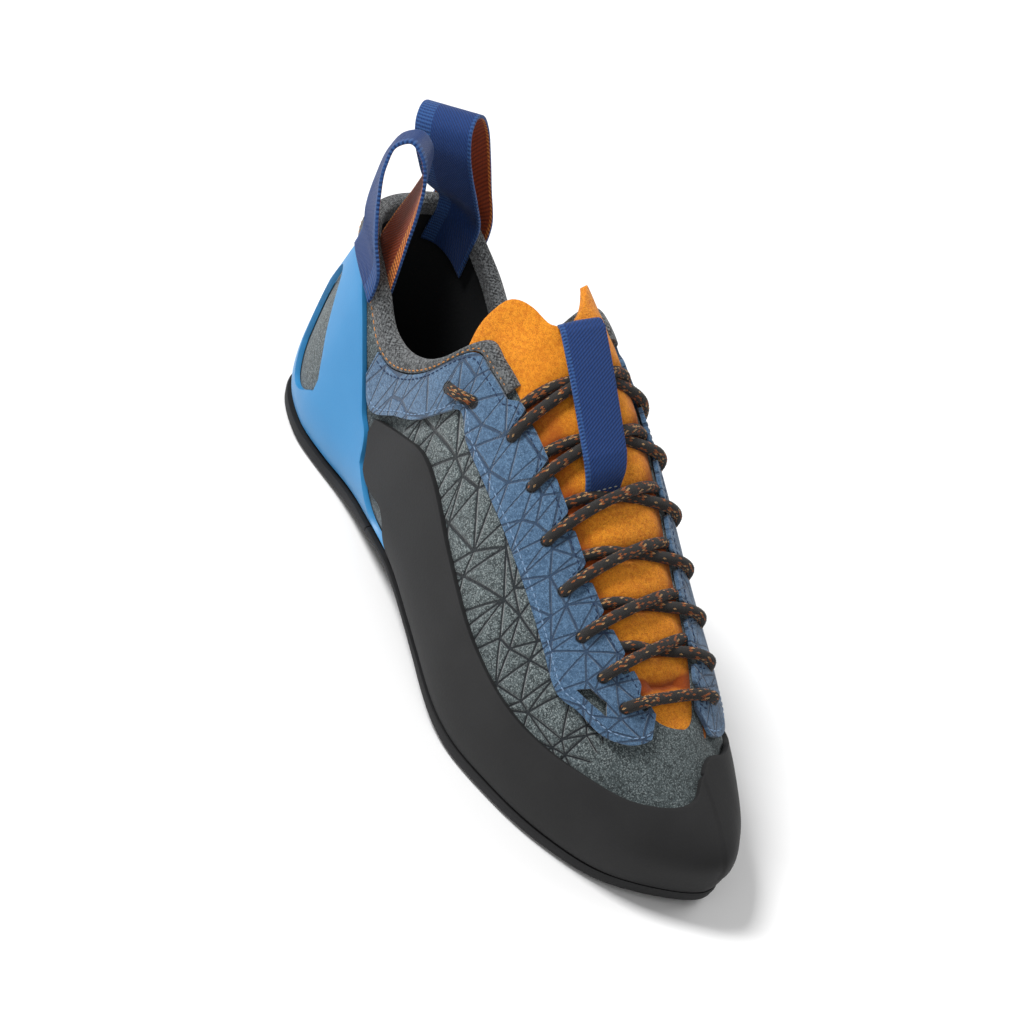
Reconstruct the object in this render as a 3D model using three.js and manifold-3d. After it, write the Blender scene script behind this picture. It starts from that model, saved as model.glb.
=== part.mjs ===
import * as THREE from "three";
import { mergeVertices } from "three/addons/utils/BufferGeometryUtils.js";
import Module from "manifold-3d";

const wasm = await Module();
wasm.setup();

// Driving sizes in mm. X runs from heel to toe, Y to the big-toe side and Z up.
const lastLength = 243;
const ballWidth = 88;
const instepHeight = 86;
const archLift = 8;
const soleThickness = 4.5;
const upperWall = 2;
const lastingMargin = 9;
const randThickness = 1.8;
const eyestayThickness = 1.4;
const bindingThickness = 1.4;
const bindingWidth = 5;
const laceDiameter = 3.8;
const webbingThickness = 1.2;
const loopWidth = 19;
const loopHeight = 33;
const tabWidth = 14;
const insoleThickness = 3;
const insoleClearance = 3.2;
const tongueThickness = 2.4;
const tongueGap = 0.8;
const tongueEnd = 0.86;
const seatGap = 0.3;
const heelRestShare = 0.13;

// The last is a net of ribs, from the heel's back round the little-toe side and the toe.
// x and spine are shares of the length, y and tuck of the ball width, wide of the instep height.
// wide is the level of the widest point, flank and crown are the exponents of the rib's curve.
const ribColumns = ["x", "y", "spine", "tuck", "wide", "flank", "crown"];
const ribs = [
  [0.013, 0.0, 0.135, 0.055, 0.25, 2.1, 3.6], // heel back
  [0.04, -0.21, 0.135, 0.055, 0.24, 2.1, 3.6], // heel corner
  [0.126, -0.307, 0.135, 0.06, 0.21, 2.1, 3.4], // heel side
  [0.25, -0.301, 0.25, 0.08, 0.19, 2.0, 2.7], // rear waist
  [0.38, -0.365, 0.38, 0.09, 0.18, 1.8, 2.03], // waist
  [0.52, -0.425, 0.52, 0.06, 0.15, 1.65, 1.97], // midfoot
  [0.655, -0.468, 0.65, 0.035, 0.13, 1.65, 2.03], // ball
  [0.766, -0.415, 0.725, 0.028, 0.12, 1.85, 2.38], // forefoot
  [0.859, -0.314, 0.755, 0.028, 0.11, 2.1, 2.79], // little toe
  [0.936, -0.15, 0.765, 0.028, 0.105, 2.3, 2.94], // toe corner
  [0.984, 0.11, 0.765, 0.028, 0.105, 2.3, 2.92], // toe tip
  [0.948, 0.254, 0.765, 0.028, 0.105, 2.3, 3.07], // big-toe corner
  [0.876, 0.344, 0.755, 0.028, 0.11, 2.1, 2.88], // big toe
  [0.747, 0.401, 0.725, 0.035, 0.13, 2.0, 3.0], // big-toe ball
  [0.56, 0.372, 0.56, 0.06, 0.15, 2.2, 3.16], // inner midfoot
  [0.4, 0.292, 0.4, 0.085, 0.19, 2.3, 3.18], // arch
  [0.25, 0.269, 0.25, 0.07, 0.2, 2.05, 2.9], // inner rear waist
  [0.126, 0.294, 0.135, 0.06, 0.21, 2.1, 3.4], // inner heel side
  [0.039, 0.194, 0.135, 0.055, 0.24, 2.1, 3.6], // inner heel corner
];

// Ridge over the instep: share of length, height by instep height, y by ball width.
const ridge = [
  [0.0, 1.48, 0.0],
  [0.15, 1.46, 0.0],
  [0.3, 1.375, 0.0],
  [0.42, 1.235, 0.005],
  [0.55, 1.015, 0.012],
  [0.68, 0.77, 0.025],
  [0.8, 0.575, 0.05],
  [0.9, 0.415, 0.085],
  [1.0, 0.325, 0.13],
];

// Lift of the underside over the floor: share of length, share of archLift.
// Heel and forefoot are flat on the floor, and the toe springs up.
const lift = [
  [0.0, 0.45],
  [0.03, 0.14],
  [0.06, 0.01],
  [0.075, 0.0],
  [0.185, 0.0],
  [0.2, 0.01],
  [0.3, 0.45],
  [0.42, 1.0],
  [0.55, 0.62],
  [0.66, 0.12],
  [0.7, 0.01],
  [0.72, 0.0],
  [0.88, 0.0],
  [0.91, 0.02],
  [1.0, 0.42],
];

// Sole: share of length, share of soleThickness. It thins under the arch.
const soleTaper = [
  [0.0, 0.85],
  [0.06, 1.0],
  [0.24, 1.0],
  [0.36, 0.6],
  [0.5, 0.55],
  [0.6, 0.85],
  [0.68, 1.0],
  [1.0, 1.0],
];

// Edge of the collar and throat: place in ribs, climb in degrees from widest point to ridge.
const topEdge = [
  [0.0, 29.5],
  [1.0, 30.0],
  [1.6, 29.3],
  [2.3, 26.8],
  [2.65, 22.9],
  [3.05, 24.5],
  [3.5, 34.9],
  [3.8, 49.9],
  [4.05, 52.3],
  [4.4, 55.8],
  [5.05, 62.7],
  [5.7, 67.6],
  [6.5, 72.0],
  [7.2, 76.0],
  [8.0, 78.0],
  [9.0, 75.0],
  [10.0, 74.5],
  [11.0, 73.5],
  [12.0, 73.0],
  [13.0, 73.5],
  [13.7, 70.5],
  [14.4, 63.0],
  [14.8, 58.0],
  [15.1, 62.0],
  [15.35, 56.0],
  [15.7, 34.0],
  [16.1, 22.5],
  [16.5, 21.5],
  [17.2, 25.0],
  [17.7, 29.0],
  [18.4, 30.5],
  [19.0, 29.5],
];

// Tongue: way from its top to its toe end, half width by ball width.
const tongueWidth = [
  [0.0, 0.235],
  [0.15, 0.265],
  [0.3, 0.285],
  [0.6, 0.29],
  [0.85, 0.255],
  [1.0, 0.2],
];

// Top edge of the tongue, in two lobes: side from -1 to 1, share of length.
const tongueTop = [
  [-1.0, 0.37],
  [-0.6, 0.325],
  [-0.3, 0.36],
  [0.0, 0.385],
  [0.3, 0.36],
  [0.6, 0.325],
  [1.0, 0.37],
];

// Heel rand: place on either side of the heel, climb of its upper edge, up to its front tip.
const heelRandTop = [
  [0.0, 8.0],
  [0.7, 9.0],
  [1.05, 12.0],
  [1.3, 19.0],
  [1.5, 30.0],
  [2.0, 25.2],
  [2.3, 20.4],
  [2.55, 15.2],
  [2.87, 8.0],
  [3.18, 1.5],
  [3.45, -20.0],
  [3.8, -48.0],
  [4.1, -57.0],
];

// Cut-out in the heel rand: place, lower climb, upper climb.
const heelWindow = [
  [1.06, 6.0, 9.0],
  [1.2, 0.0, 15.0],
  [1.36, -16.0, 19.5],
  [1.5, -27.0, 19.0],
  [1.66, -29.0, 15.0],
  [1.85, -21.0, 9.5],
  [2.0, -9.0, 6.0],
  [2.12, 0.0, 2.5],
];

// Toe rand with its side panel: place, climb of the lower edge, climb of the upper edge.
const toeRand = [
  [3.12, 6.6, 9.9],
  [3.25, 3.0, 11.3],
  [3.46, -7.0, 13.8],
  [3.7, -8.0, 16.7],
  [3.9, -7.0, 19.3],
  [4.0, -14.0, 20.3],
  [4.18, -50.0, 21.2],
  [4.3, -58.0, 21.5],
  [5.0, -55.0, 21.4],
  [5.5, -58.0, 21.8],
  [6.0, -62.0, 22.9],
  [7.0, -62.0, 23.1],
  [7.5, -62.0, 26.3],
  [8.0, -62.0, 31.4],
  [8.5, -62.0, 36.4],
  [9.0, -62.0, 41.7],
  [9.5, -62.0, 47.8],
  [9.85, -62.0, 54.1],
  [10.15, -59.5, 61.2],
  [10.45, -59.5, 64.6],
  [11.0, -59.5, 64.0],
  [11.6, -59.5, 53.4],
  [12.05, -62.0, 43.5],
  [12.4, -62.0, 30.0],
  [12.8, -62.0, 18.0],
  [13.4, -62.0, 14.0],
  [14.3, -60.0, 12.0],
  [14.75, -56.0, 11.0],
  [14.95, -40.0, 10.5],
  [15.2, -12.0, 9.5],
  [15.5, -7.0, 8.0],
  [15.8, 4.5, 7.0],
];

// Lower edge of the lace facing on the little-toe side: place, climb.
const eyestayLow = [
  [2.69, 13.8],
  [2.87, 10.3],
  [3.4, 16.2],
  [3.71, 22.6],
  [3.9, 29.4],
  [4.06, 35.8],
  [4.37, 36.1],
  [4.87, 40.0],
  [5.37, 43.8],
  [5.96, 46.9],
  [6.5, 46.2],
  [6.86, 43.8],
  [7.0, 43.3],
  [7.4, 47.6],
  [7.9, 51.3],
  [8.4, 59.2],
  [8.9, 69.1],
];

// Lower edge of the lace facing on the big-toe side: place, climb.
const eyestayLowInner = [
  [11.45, 66.0],
  [11.9, 54.0],
  [12.3, 43.0],
  [12.7, 37.0],
  [13.1, 35.5],
  [13.5, 38.5],
  [13.9, 37.5],
  [14.35, 33.0],
  [14.8, 28.0],
  [15.1, 25.0],
  [15.4, 18.0],
  [15.8, 13.0],
  [16.22, 14.0],
];

// Lace holes of one side, from the collar down: share of length, distance from the ridge by ball width.
const eyelets = [
  [0.474, 0.254],
  [0.539, 0.25],
  [0.602, 0.256],
  [0.662, 0.252],
  [0.718, 0.246],
  [0.769, 0.226],
  [0.808, 0.19],
];

const ribCount = ribs.length;
const rad = Math.PI / 180;
const clamp = THREE.MathUtils.clamp;

// Smooth curve through the rows of a table; returns all values after the first column.
function curve(rows, at) {
  let i = 0;
  while (i < rows.length - 2 && at >= rows[i + 1][0]) i += 1;
  const chord = (k, c) => (rows[k + 1][c] - rows[k][c]) / (rows[k + 1][0] - rows[k][0]);
  const slope = (k, c) => {
    if (k === 0) return chord(0, c);
    if (k === rows.length - 1) return chord(k - 1, c);
    const before = rows[k][0] - rows[k - 1][0];
    const after = rows[k + 1][0] - rows[k][0];
    return (chord(k - 1, c) * after + chord(k, c) * before) / (before + after);
  };
  const span = rows[i + 1][0] - rows[i][0];
  const s = clamp((at - rows[i][0]) / span, 0, 1);
  return rows[i].slice(1).map((value, n) => {
    const c = n + 1;
    const bend = slope(i, c) * span * s * (1 - s) ** 2 + slope(i + 1, c) * span * s * s * (s - 1);
    return value * (1 + 2 * s) * (1 - s) ** 2 + rows[i + 1][c] * s * s * (3 - 2 * s) + bend;
  });
}

// The rib at a place, which counts the rows of the table and wraps round the heel.
function ribAt(place) {
  const wrapped = ((place % ribCount) + ribCount) % ribCount;
  const i = Math.floor(wrapped);
  const s = wrapped - i;
  const row = (k) => ribs[(i + k + ribCount) % ribCount];
  const rib = {};
  ribColumns.forEach((name, c) => {
    const startSlope = (row(1)[c] - row(-1)[c]) / 2;
    const endSlope = (row(2)[c] - row(0)[c]) / 2;
    const bend = startSlope * s * (1 - s) ** 2 + endSlope * s * s * (s - 1);
    rib[name] = row(0)[c] * (1 + 2 * s) * (1 - s) ** 2 + row(1)[c] * s * s * (3 - 2 * s) + bend;
  });
  return rib;
}

const ridgeHeight = (x) => curve(ridge, clamp(x / lastLength, 0, 1))[0] * instepHeight;
const ridgeY = (x) => curve(ridge, clamp(x / lastLength, 0, 1))[1] * ballWidth;
const liftAt = (x) => archLift * Math.max(0, curve(lift, clamp(x / lastLength, 0, 1))[0]);
const seatHeight = (x) => soleThickness + seatGap + liftAt(x);
const topEdgeAt = (place) => curve(topEdge, ((place % ribCount) + ribCount) % ribCount)[0];

// Point on the outside of the upper. climb is -90 at the feather edge, 0 at the widest level and
// 90 on the ridge; each degree under -90 is a millimetre inwards across the bottom.
function skin(place, climb) {
  const rib = ribAt(place);
  const baseX = rib.x * lastLength;
  const baseY = rib.y * ballWidth;
  const spineX = rib.spine * lastLength;
  const spineY = ridgeY(spineX);
  const up = clamp(climb, 0, 90) * rad;
  const down = clamp(-climb, 0, 90) * rad;
  const under = Math.max(-climb - 90, 0);
  const span = Math.hypot(baseX - spineX, baseY - spineY);
  const tucked = climb < 0 ? (rib.tuck * ballWidth * (1 - Math.cos(down)) + under) / span : 0;
  const reach = Math.cos(up) ** (2 / rib.crown) - tucked;
  const x = spineX + (baseX - spineX) * reach;
  const y = spineY + (baseY - spineY) * reach;
  const low = seatHeight(x);
  const wide = low + rib.wide * instepHeight;
  const rise = Math.sin(up) ** (2 / rib.flank);
  const z = climb > 0 ? wide + (ridgeHeight(x) - wide) * rise : wide - (wide - low) * Math.sin(down);
  return new THREE.Vector3(x, y, z);
}

// Point at a distance outside the skin, or inside it when the distance is negative.
function off(place, climb, distance) {
  const across = Math.min(climb, 88.5);
  const along = skin(place - 0.02, across).sub(skin(place + 0.02, across));
  const upward = skin(place, across - 1).sub(skin(place, across + 1));
  const normal = upward.cross(along).normalize().negate();
  return skin(place, climb).addScaledVector(normal, distance);
}

// Place and climb of the point of the skin that lies over a plan point.
function over(x, y) {
  const inner = y > ridgeY(x);
  let low = inner ? 10 : 2;
  let high = inner ? 17 : 10;
  const turn = (place) => {
    const rib = ribAt(place);
    const spineX = rib.spine * lastLength;
    const spineY = ridgeY(spineX);
    const toX = rib.x * lastLength - spineX;
    const toY = rib.y * ballWidth - spineY;
    const cross = toX * (y - spineY) - toY * (x - spineX);
    return { cross, reach: Math.hypot(x - spineX, y - spineY) / Math.hypot(toX, toY), rib };
  };
  const start = turn(low).cross;
  for (let n = 0; n < 40; n += 1) {
    const middle = (low + high) / 2;
    if (turn(middle).cross * start > 0) low = middle;
    else high = middle;
  }
  const { reach, rib } = turn(low);
  return { place: low, climb: Math.acos(Math.min(1, reach ** (rib.crown / 2))) / rad };
}

// Solid from sections, each with equal rows of points on its outer and inner face and a point
// that rounds each of its two edges. The sections follow each other, and in a ring the last
// meets the first.
function layer(sections, ring = false) {
  const loops = sections.map(({ outer, inner, start, end }) => [start, ...outer, end, ...[...inner].reverse()]);
  const size = loops[0].length;
  const rows = sections[0].outer.length;
  const positions = [];
  const triangle = (a, b, c) => positions.push(...a.toArray(), ...b.toArray(), ...c.toArray());
  const quad = (a, b, c, d) => {
    triangle(a, b, c);
    triangle(a, c, d);
  };
  const spans = ring ? loops.length : loops.length - 1;
  for (let i = 0; i < spans; i += 1) {
    const here = loops[i];
    const next = loops[(i + 1) % loops.length];
    for (let k = 0; k < size; k += 1) {
      const m = (k + 1) % size;
      quad(here[k], here[m], next[m], next[k]);
    }
  }
  const cap = (loop, flip) => {
    const face = (a, b, c) => (flip ? triangle(a, c, b) : triangle(a, b, c));
    face(loop[0], loop[size - 1], loop[1]);
    for (let k = 1; k < rows; k += 1) {
      face(loop[k], loop[size - k], loop[k + 1]);
      face(loop[k + 1], loop[size - k], loop[size - k - 1]);
    }
    face(loop[rows], loop[rows + 2], loop[rows + 1]);
  };
  if (!ring) {
    cap(loops[0], false);
    cap(loops[loops.length - 1], true);
  }
  return closed(positions);
}

// Geometry of a closed body from loose triangles: shared corners are merged, empty triangles
// are left out and the faces are turned outwards.
function closed(positions) {
  const loose = new THREE.BufferGeometry();
  loose.setAttribute("position", new THREE.Float32BufferAttribute(positions, 3));
  const merged = mergeVertices(loose, 1e-4);
  const index = merged.index.array;
  const at = merged.attributes.position;
  const kept = [];
  let volume = 0;
  const a = new THREE.Vector3();
  const b = new THREE.Vector3();
  const c = new THREE.Vector3();
  for (let i = 0; i < index.length; i += 3) {
    const [p, q, r] = [index[i], index[i + 1], index[i + 2]];
    if (p === q || q === r || r === p) continue;
    kept.push(p, q, r);
    a.fromBufferAttribute(at, p);
    b.fromBufferAttribute(at, q);
    c.fromBufferAttribute(at, r);
    volume += a.dot(b.cross(c));
  }
  if (volume < 0) kept.reverse();
  merged.setIndex(kept);
  return merged;
}

// Section of a wall on the skin: the climbs of its rows and the distances of its two faces.
function wallSection(place, climbs, inside, outside) {
  const middle = (inside + outside) / 2;
  const first = climbs[0];
  const last = climbs[climbs.length - 1];
  return {
    outer: climbs.map((climb) => off(place, climb, outside)),
    inner: climbs.map((climb) => off(place, climb, inside)),
    start: off(place, first, middle),
    end: off(place, last, middle),
  };
}

const steps = (from, to, count) => Array.from({ length: count + 1 }, (_, i) => from + ((to - from) * i) / count);

// Places from one to another that fall on the columns of the upper, with the two ends.
const columnsPerRib = 3;
function placesBetween(from, to) {
  const first = Math.floor(from * columnsPerRib + 1.3);
  const last = Math.ceil(to * columnsPerRib - 1.3);
  return [from, ...steps(first, last, last - first).map((n) => n / columnsPerRib), to];
}

// Climbs of the upper's rows above the feather edge.
const wallRows = (place) => [-66, -42, ...steps(0, topEdgeAt(place), 5)];

// Upper: a hollow wall all round, from its lasting margin under the foot to the collar and throat.
function upperShape() {
  const columns = ribCount * columnsPerRib;
  const sections = steps(0, ribCount, columns)
    .slice(0, columns)
    .map((place) => {
      const margin = [-90 - lastingMargin, -90 - lastingMargin / 2, -90];
      return wallSection(place, [...margin, ...wallRows(place)], -upperWall, 0);
    });
  return layer(sections, true);
}

// Plate that follows the foot's outline from a share of the way to another. edge gives the outline
// for a place and a growth, top and bottom give heights from x, and bevel pulls in the lower edge.
function plate({ from, to, columns, edge, top, bottom, bulge, bevel }) {
  const across = 4;
  const sections = steps(from, to, columns).map((way) => {
    const outerPlace = way * 10;
    const innerPlace = ribCount - way * (ribCount - 10);
    const row = (growth, height) => {
      const a = edge(outerPlace, growth);
      const b = edge(innerPlace, growth);
      return steps(0, 1, across).map((s) => {
        const p = new THREE.Vector3().lerpVectors(a, b, s);
        return p.setZ(height(p.x));
      });
    };
    const side = (place) => {
      const p = edge(place, bulge);
      return p.setZ((top(p.x) + bottom(p.x)) / 2);
    };
    return { outer: row(0, top), inner: row(-bevel, bottom), start: side(outerPlace), end: side(innerPlace) };
  });
  return layer(sections);
}

const soleTop = (x) => seatHeight(x) - seatGap;
const taperAt = (x) => Math.min(1, curve(soleTaper, clamp(x / lastLength, 0, 1))[0]);
const soleBottom = (x) => soleTop(x) - soleThickness * taperAt(x);
const soleEdge = (place, growth) => off(place, -50, seatGap + randThickness + growth);

const randLow = -62;
const soleSplit = 0.37;
const bindingEnd = 4 + 1 / 3;
const bindingEndInner = 4;
const soleBulge = 0.3;
const soleBevel = 1.8;

function soleShape(from, to, columns) {
  return plate({ from, to, columns, edge: soleEdge, top: soleTop, bottom: soleBottom, bulge: soleBulge, bevel: soleBevel });
}

// Insole: lies on the lasting margin, inside the wall.
const insoleBottom = (x) => seatHeight(x) + upperWall + 2.5 * seatGap;
const insoleTop = (x) => insoleBottom(x) + insoleThickness;

function insoleShape() {
  const inset = upperWall + insoleClearance;
  const edge = (place, growth) => off(place, -62, growth - inset);
  return plate({ from: 0, to: 1, columns: 20, edge, top: insoleTop, bottom: insoleBottom, bulge: 0.2, bevel: 0.8 });
}

// Tongue: follows the inside of the throat, and its top edge stands free in two lobes.
function tonguePoint(way, side, distance) {
  const top = curve(tongueTop, side)[0];
  const x = (top + (tongueEnd - top) * way) * lastLength;
  const y = ridgeY(x) + side * curve(tongueWidth, way)[0] * ballWidth;
  const { place, climb } = over(x, y);
  return off(place, climb, distance);
}

function tongueSolid() {
  const outside = -upperWall - tongueGap;
  const inside = outside - tongueThickness;
  const sides = steps(-1, 1, 12);
  const sections = steps(0, 1, 15).map((way) => ({
    outer: sides.map((side) => tonguePoint(way, side, outside)),
    inner: sides.map((side) => tonguePoint(way, side, inside)),
    start: tonguePoint(way, -1, (inside + outside) / 2),
    end: tonguePoint(way, 1, (inside + outside) / 2),
  }));
  return layer(sections);
}

// Climb of the point that lies a number of mm further up the rib.
function further(place, climb, distance) {
  const perDegree = skin(place, climb - 1).distanceTo(skin(place, climb + 1)) / 2;
  return climb + distance / perDegree;
}

const overlayGap = 0.35;

// Overlay on the upper from one place to another, between two edges given as climbs. It shares the
// upper's rows and columns, so that it lies at one distance from it.
function overlay({ from, to, low, high, thickness, inside = overlayGap }) {
  const sections = placesBetween(from, to).map((place) => {
    const shared = wallRows(place).map((climb) => clamp(climb, low(place), high(place)));
    return wallSection(place, [low(place), ...shared, high(place)], inside, inside + thickness);
  });
  return layer(sections);
}

const bindingTaper = 0.4; // share of its width that the binding loses towards its ends
const bindingWidthAt = (place) => {
  const fromHeel = Math.abs(place > ribCount / 2 ? place - ribCount : place);
  return bindingWidth * (1 - bindingTaper * THREE.MathUtils.smoothstep(fromHeel, 3.4, bindingEnd));
};
const bindingLow = (place) => further(place, topEdgeAt(place), -bindingWidthAt(place));
const underBinding = (place) => further(place, topEdgeAt(place), -bindingWidthAt(place) - 2 * seatGap);
const firstOf = (table) => table[0][0];
const lastOf = (table) => table[table.length - 1][0];

function solidOf(geometry) {
  const vertProperties = Float32Array.from(geometry.attributes.position.array);
  return new wasm.Manifold(new wasm.Mesh({ numProp: 3, vertProperties, triVerts: Uint32Array.from(geometry.index.array) }));
}

function geometryOf(solid) {
  const { vertProperties, triVerts } = solid.getMesh();
  const geometry = new THREE.BufferGeometry();
  geometry.setAttribute("position", new THREE.BufferAttribute(Float32Array.from(vertProperties), 3));
  geometry.setIndex(new THREE.BufferAttribute(Uint32Array.from(triVerts), 1));
  return geometry;
}

// Heel rand: slung round the heel, with a tall cut-out on each side.
function heelRandShape() {
  const reach = lastOf(heelRandTop);
  const high = (place) => Math.min(curve(heelRandTop, Math.abs(place))[0], underBinding(place));
  const low = () => randLow;
  const rand = overlay({ from: -reach, to: reach, low, high, thickness: randThickness });
  let solid = solidOf(rand);
  [1, -1].forEach((side) => {
    const cutter = overlay({
      from: side > 0 ? firstOf(heelWindow) : -lastOf(heelWindow),
      to: side > 0 ? lastOf(heelWindow) : -firstOf(heelWindow),
      low: (place) => curve(heelWindow, Math.abs(place))[0],
      high: (place) => curve(heelWindow, Math.abs(place))[1],
      thickness: randThickness * 3,
      inside: seatGap - randThickness,
    });
    solid = solid.subtract(solidOf(cutter));
  });
  return geometryOf(solid);
}

// Toe rand: round the toe, raised over the big toe, and up the side panel on the little-toe side.
function toeRandShape() {
  const edge = (column) => (place) => curve(toeRand, place)[column];
  const span = { from: firstOf(toeRand), to: lastOf(toeRand) };
  return overlay({ ...span, low: edge(0), high: edge(1), thickness: randThickness, inside: 2.1 * seatGap });
}

// Cord along a route of points.
function cord(points, diameter) {
  const sides = 8;
  const section = new THREE.Shape(
    steps(0, 2 * Math.PI, sides)
      .slice(0, sides)
      .map((a) => new THREE.Vector2(Math.cos(a), Math.sin(a)).multiplyScalar(diameter / 2))
  );
  const extrudePath = new THREE.CatmullRomCurve3(points, false, "centripetal");
  const tube = new THREE.ExtrudeGeometry(section, { steps: 5, bevelEnabled: false, extrudePath });
  return closed(Array.from(tube.attributes.position.array));
}

// Point over the instep: x, distance from the ridge line and distance off the skin.
function instep(x, across, distance) {
  const { place, climb } = over(x, ridgeY(x) + across);
  return off(place, climb, distance);
}

const laceRadius = laceDiameter / 2;
const laceOnUpper = laceRadius + 2 * seatGap;
const laceOnTongue = laceRadius + 2.4 * seatGap - upperWall - tongueGap;
const laceBack = 9.5;

const eyeletAt = (k) => ({ x: eyelets[k][0] * lastLength, across: eyelets[k][1] * ballWidth });

// Distance of the throat's edge from the ridge line at x, on one side.
function throatEdge(x, side) {
  let open = 0;
  let covered = ballWidth * 0.4;
  for (let n = 0; n < 20; n += 1) {
    const middle = (open + covered) / 2;
    const { place, climb } = over(x, ridgeY(x) + side * middle);
    if (climb > topEdgeAt(place)) open = middle;
    else covered = middle;
  }
  return open;
}

// Strand from its hole on one side, over the facing and the tongue, to the edge of the other side.
function strandRoute(k, side) {
  const { x, across } = eyeletAt(k);
  const near = throatEdge(x, side);
  const far = throatEdge(x - laceBack, -side);
  const stations = [
    [across, laceOnUpper],
    [near + 1, laceOnUpper + 0.4],
    [near - 3.5, laceOnTongue + 1.8],
    [0, laceOnTongue + 0.7],
    [4 - far, laceOnTongue + 0.5],
    [1.6 - far, laceOnTongue + 0.5],
  ];
  const last = 1.6 - far;
  return stations.map(([at, distance]) => {
    const way = (across - at) / (across - last);
    return instep(x - laceBack * way, side * at, distance);
  });
}

function barRoute(k) {
  const { x, across } = eyeletAt(k);
  const half = (side) => [
    instep(x, side * across, laceOnUpper),
    instep(x, side * (throatEdge(x, side) + 1), laceOnUpper + 0.4),
    instep(x, side * (throatEdge(x, side) - 3.5), laceOnTongue + 1.8),
  ];
  return [...half(-1), instep(x, 0, laceOnTongue + 1.2), ...half(1).reverse()];
}

function crossShape(k) {
  const strands = [-1, 1].map((side) => solidOf(cord(strandRoute(k, side), laceDiameter)));
  return geometryOf(strands[0].add(strands[1]));
}

// Lace facing: a strip along collar and throat, slotted where each lace goes to its hole.
function eyestayShape({ from, to, low, side }) {
  const high = (place) => {
    const towardsHeel = side < 0 ? bindingEnd - place : place - (ribCount - bindingEndInner);
    return towardsHeel > -0.02 ? underBinding(place) : topEdgeAt(place);
  };
  let solid = solidOf(overlay({ from, to, low, high, thickness: eyestayThickness, inside: 2.5 * seatGap }));
  eyelets.forEach((_, k) => {
    const route = k < eyelets.length - 1 ? strandRoute(k, side) : barRoute(k);
    solid = solid.subtract(solidOf(cord(route, laceDiameter + 4 * seatGap)));
  });
  return geometryOf(solid);
}

// Collar binding: covers the outside and the top of the collar's edge.

function bindingShape() {
  const sections = placesBetween(-bindingEndInner, bindingEnd).map((place) => {
    const top = topEdgeAt(place);
    const path = (distance, rise) => [
      off(place, bindingLow(place), distance),
      off(place, (bindingLow(place) + top) / 2, distance),
      off(place, further(place, top, rise), distance),
      off(place, further(place, top, rise), -upperWall / 2),
      off(place, further(place, top, rise), -upperWall),
    ];
    const inside = 1.7 * seatGap;
    const outer = path(inside + bindingThickness, inside + bindingThickness);
    const inner = path(inside, inside);
    const between = (a, b) => new THREE.Vector3().lerpVectors(a, b, 0.5);
    return { outer, inner, start: between(outer[0], inner[0]), end: between(outer[4], inner[4]) };
  });
  return layer(sections);
}

// Lace keeper: a webbing strip over the upper crossings, sewn to the tongue at both ends.
const tabRoute = [
  [0.386, 0.0],
  [0.4, 0.1],
  [0.425, 0.85],
  [0.45, 1.0],
  [0.49, 1.0],
  [0.525, 1.0],
  [0.54, 0.85],
  [0.553, 0.1],
  [0.562, 0.0],
];

function tabShape() {
  const low = webbingThickness / 2 + seatGap - upperWall - tongueGap;
  const high = laceOnTongue + laceRadius + 5 * seatGap + webbingThickness / 2;
  const stations = steps(firstOf(tabRoute), lastOf(tabRoute), 18).map((share) => {
    const lifted = clamp(curve(tabRoute, share)[0], 0, 1);
    const x = share * lastLength;
    const reach = tabWidth / 2;
    const distance = low + (high - low) * lifted;
    const a = instep(x, -reach, distance);
    const b = instep(x, reach, distance);
    const middle = instep(x, 0, distance);
    const up = new THREE.Vector3(0, 0, 1);
    return { a, b, middle, up };
  });
  const half = webbingThickness / 2;
  const sections = stations.map(({ a, b, middle, up }) => {
    const lift = (p, t) => p.clone().addScaledVector(up, t);
    return {
      outer: [lift(a, half), lift(middle, half), lift(b, half)],
      inner: [lift(a, -half), lift(middle, -half), lift(b, -half)],
      start: a,
      end: b,
    };
  });
  return layer(sections);
}

// Pull loop from its outer foot over the top to its inner foot: rise as a share of the loop's height,
// spread off the collar as a share of its width.
const loopRoute = [
  [-0.08, 0.0],
  [0.0, 0.02],
  [0.12, 0.2],
  [0.3, 0.36],
  [0.55, 0.45],
  [0.78, 0.46],
  [0.93, 0.32],
  [1.0, 0.0],
  [0.93, -0.32],
  [0.78, -0.46],
  [0.55, -0.45],
  [0.3, -0.36],
  [0.12, -0.2],
  [0.0, -0.02],
];

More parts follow.
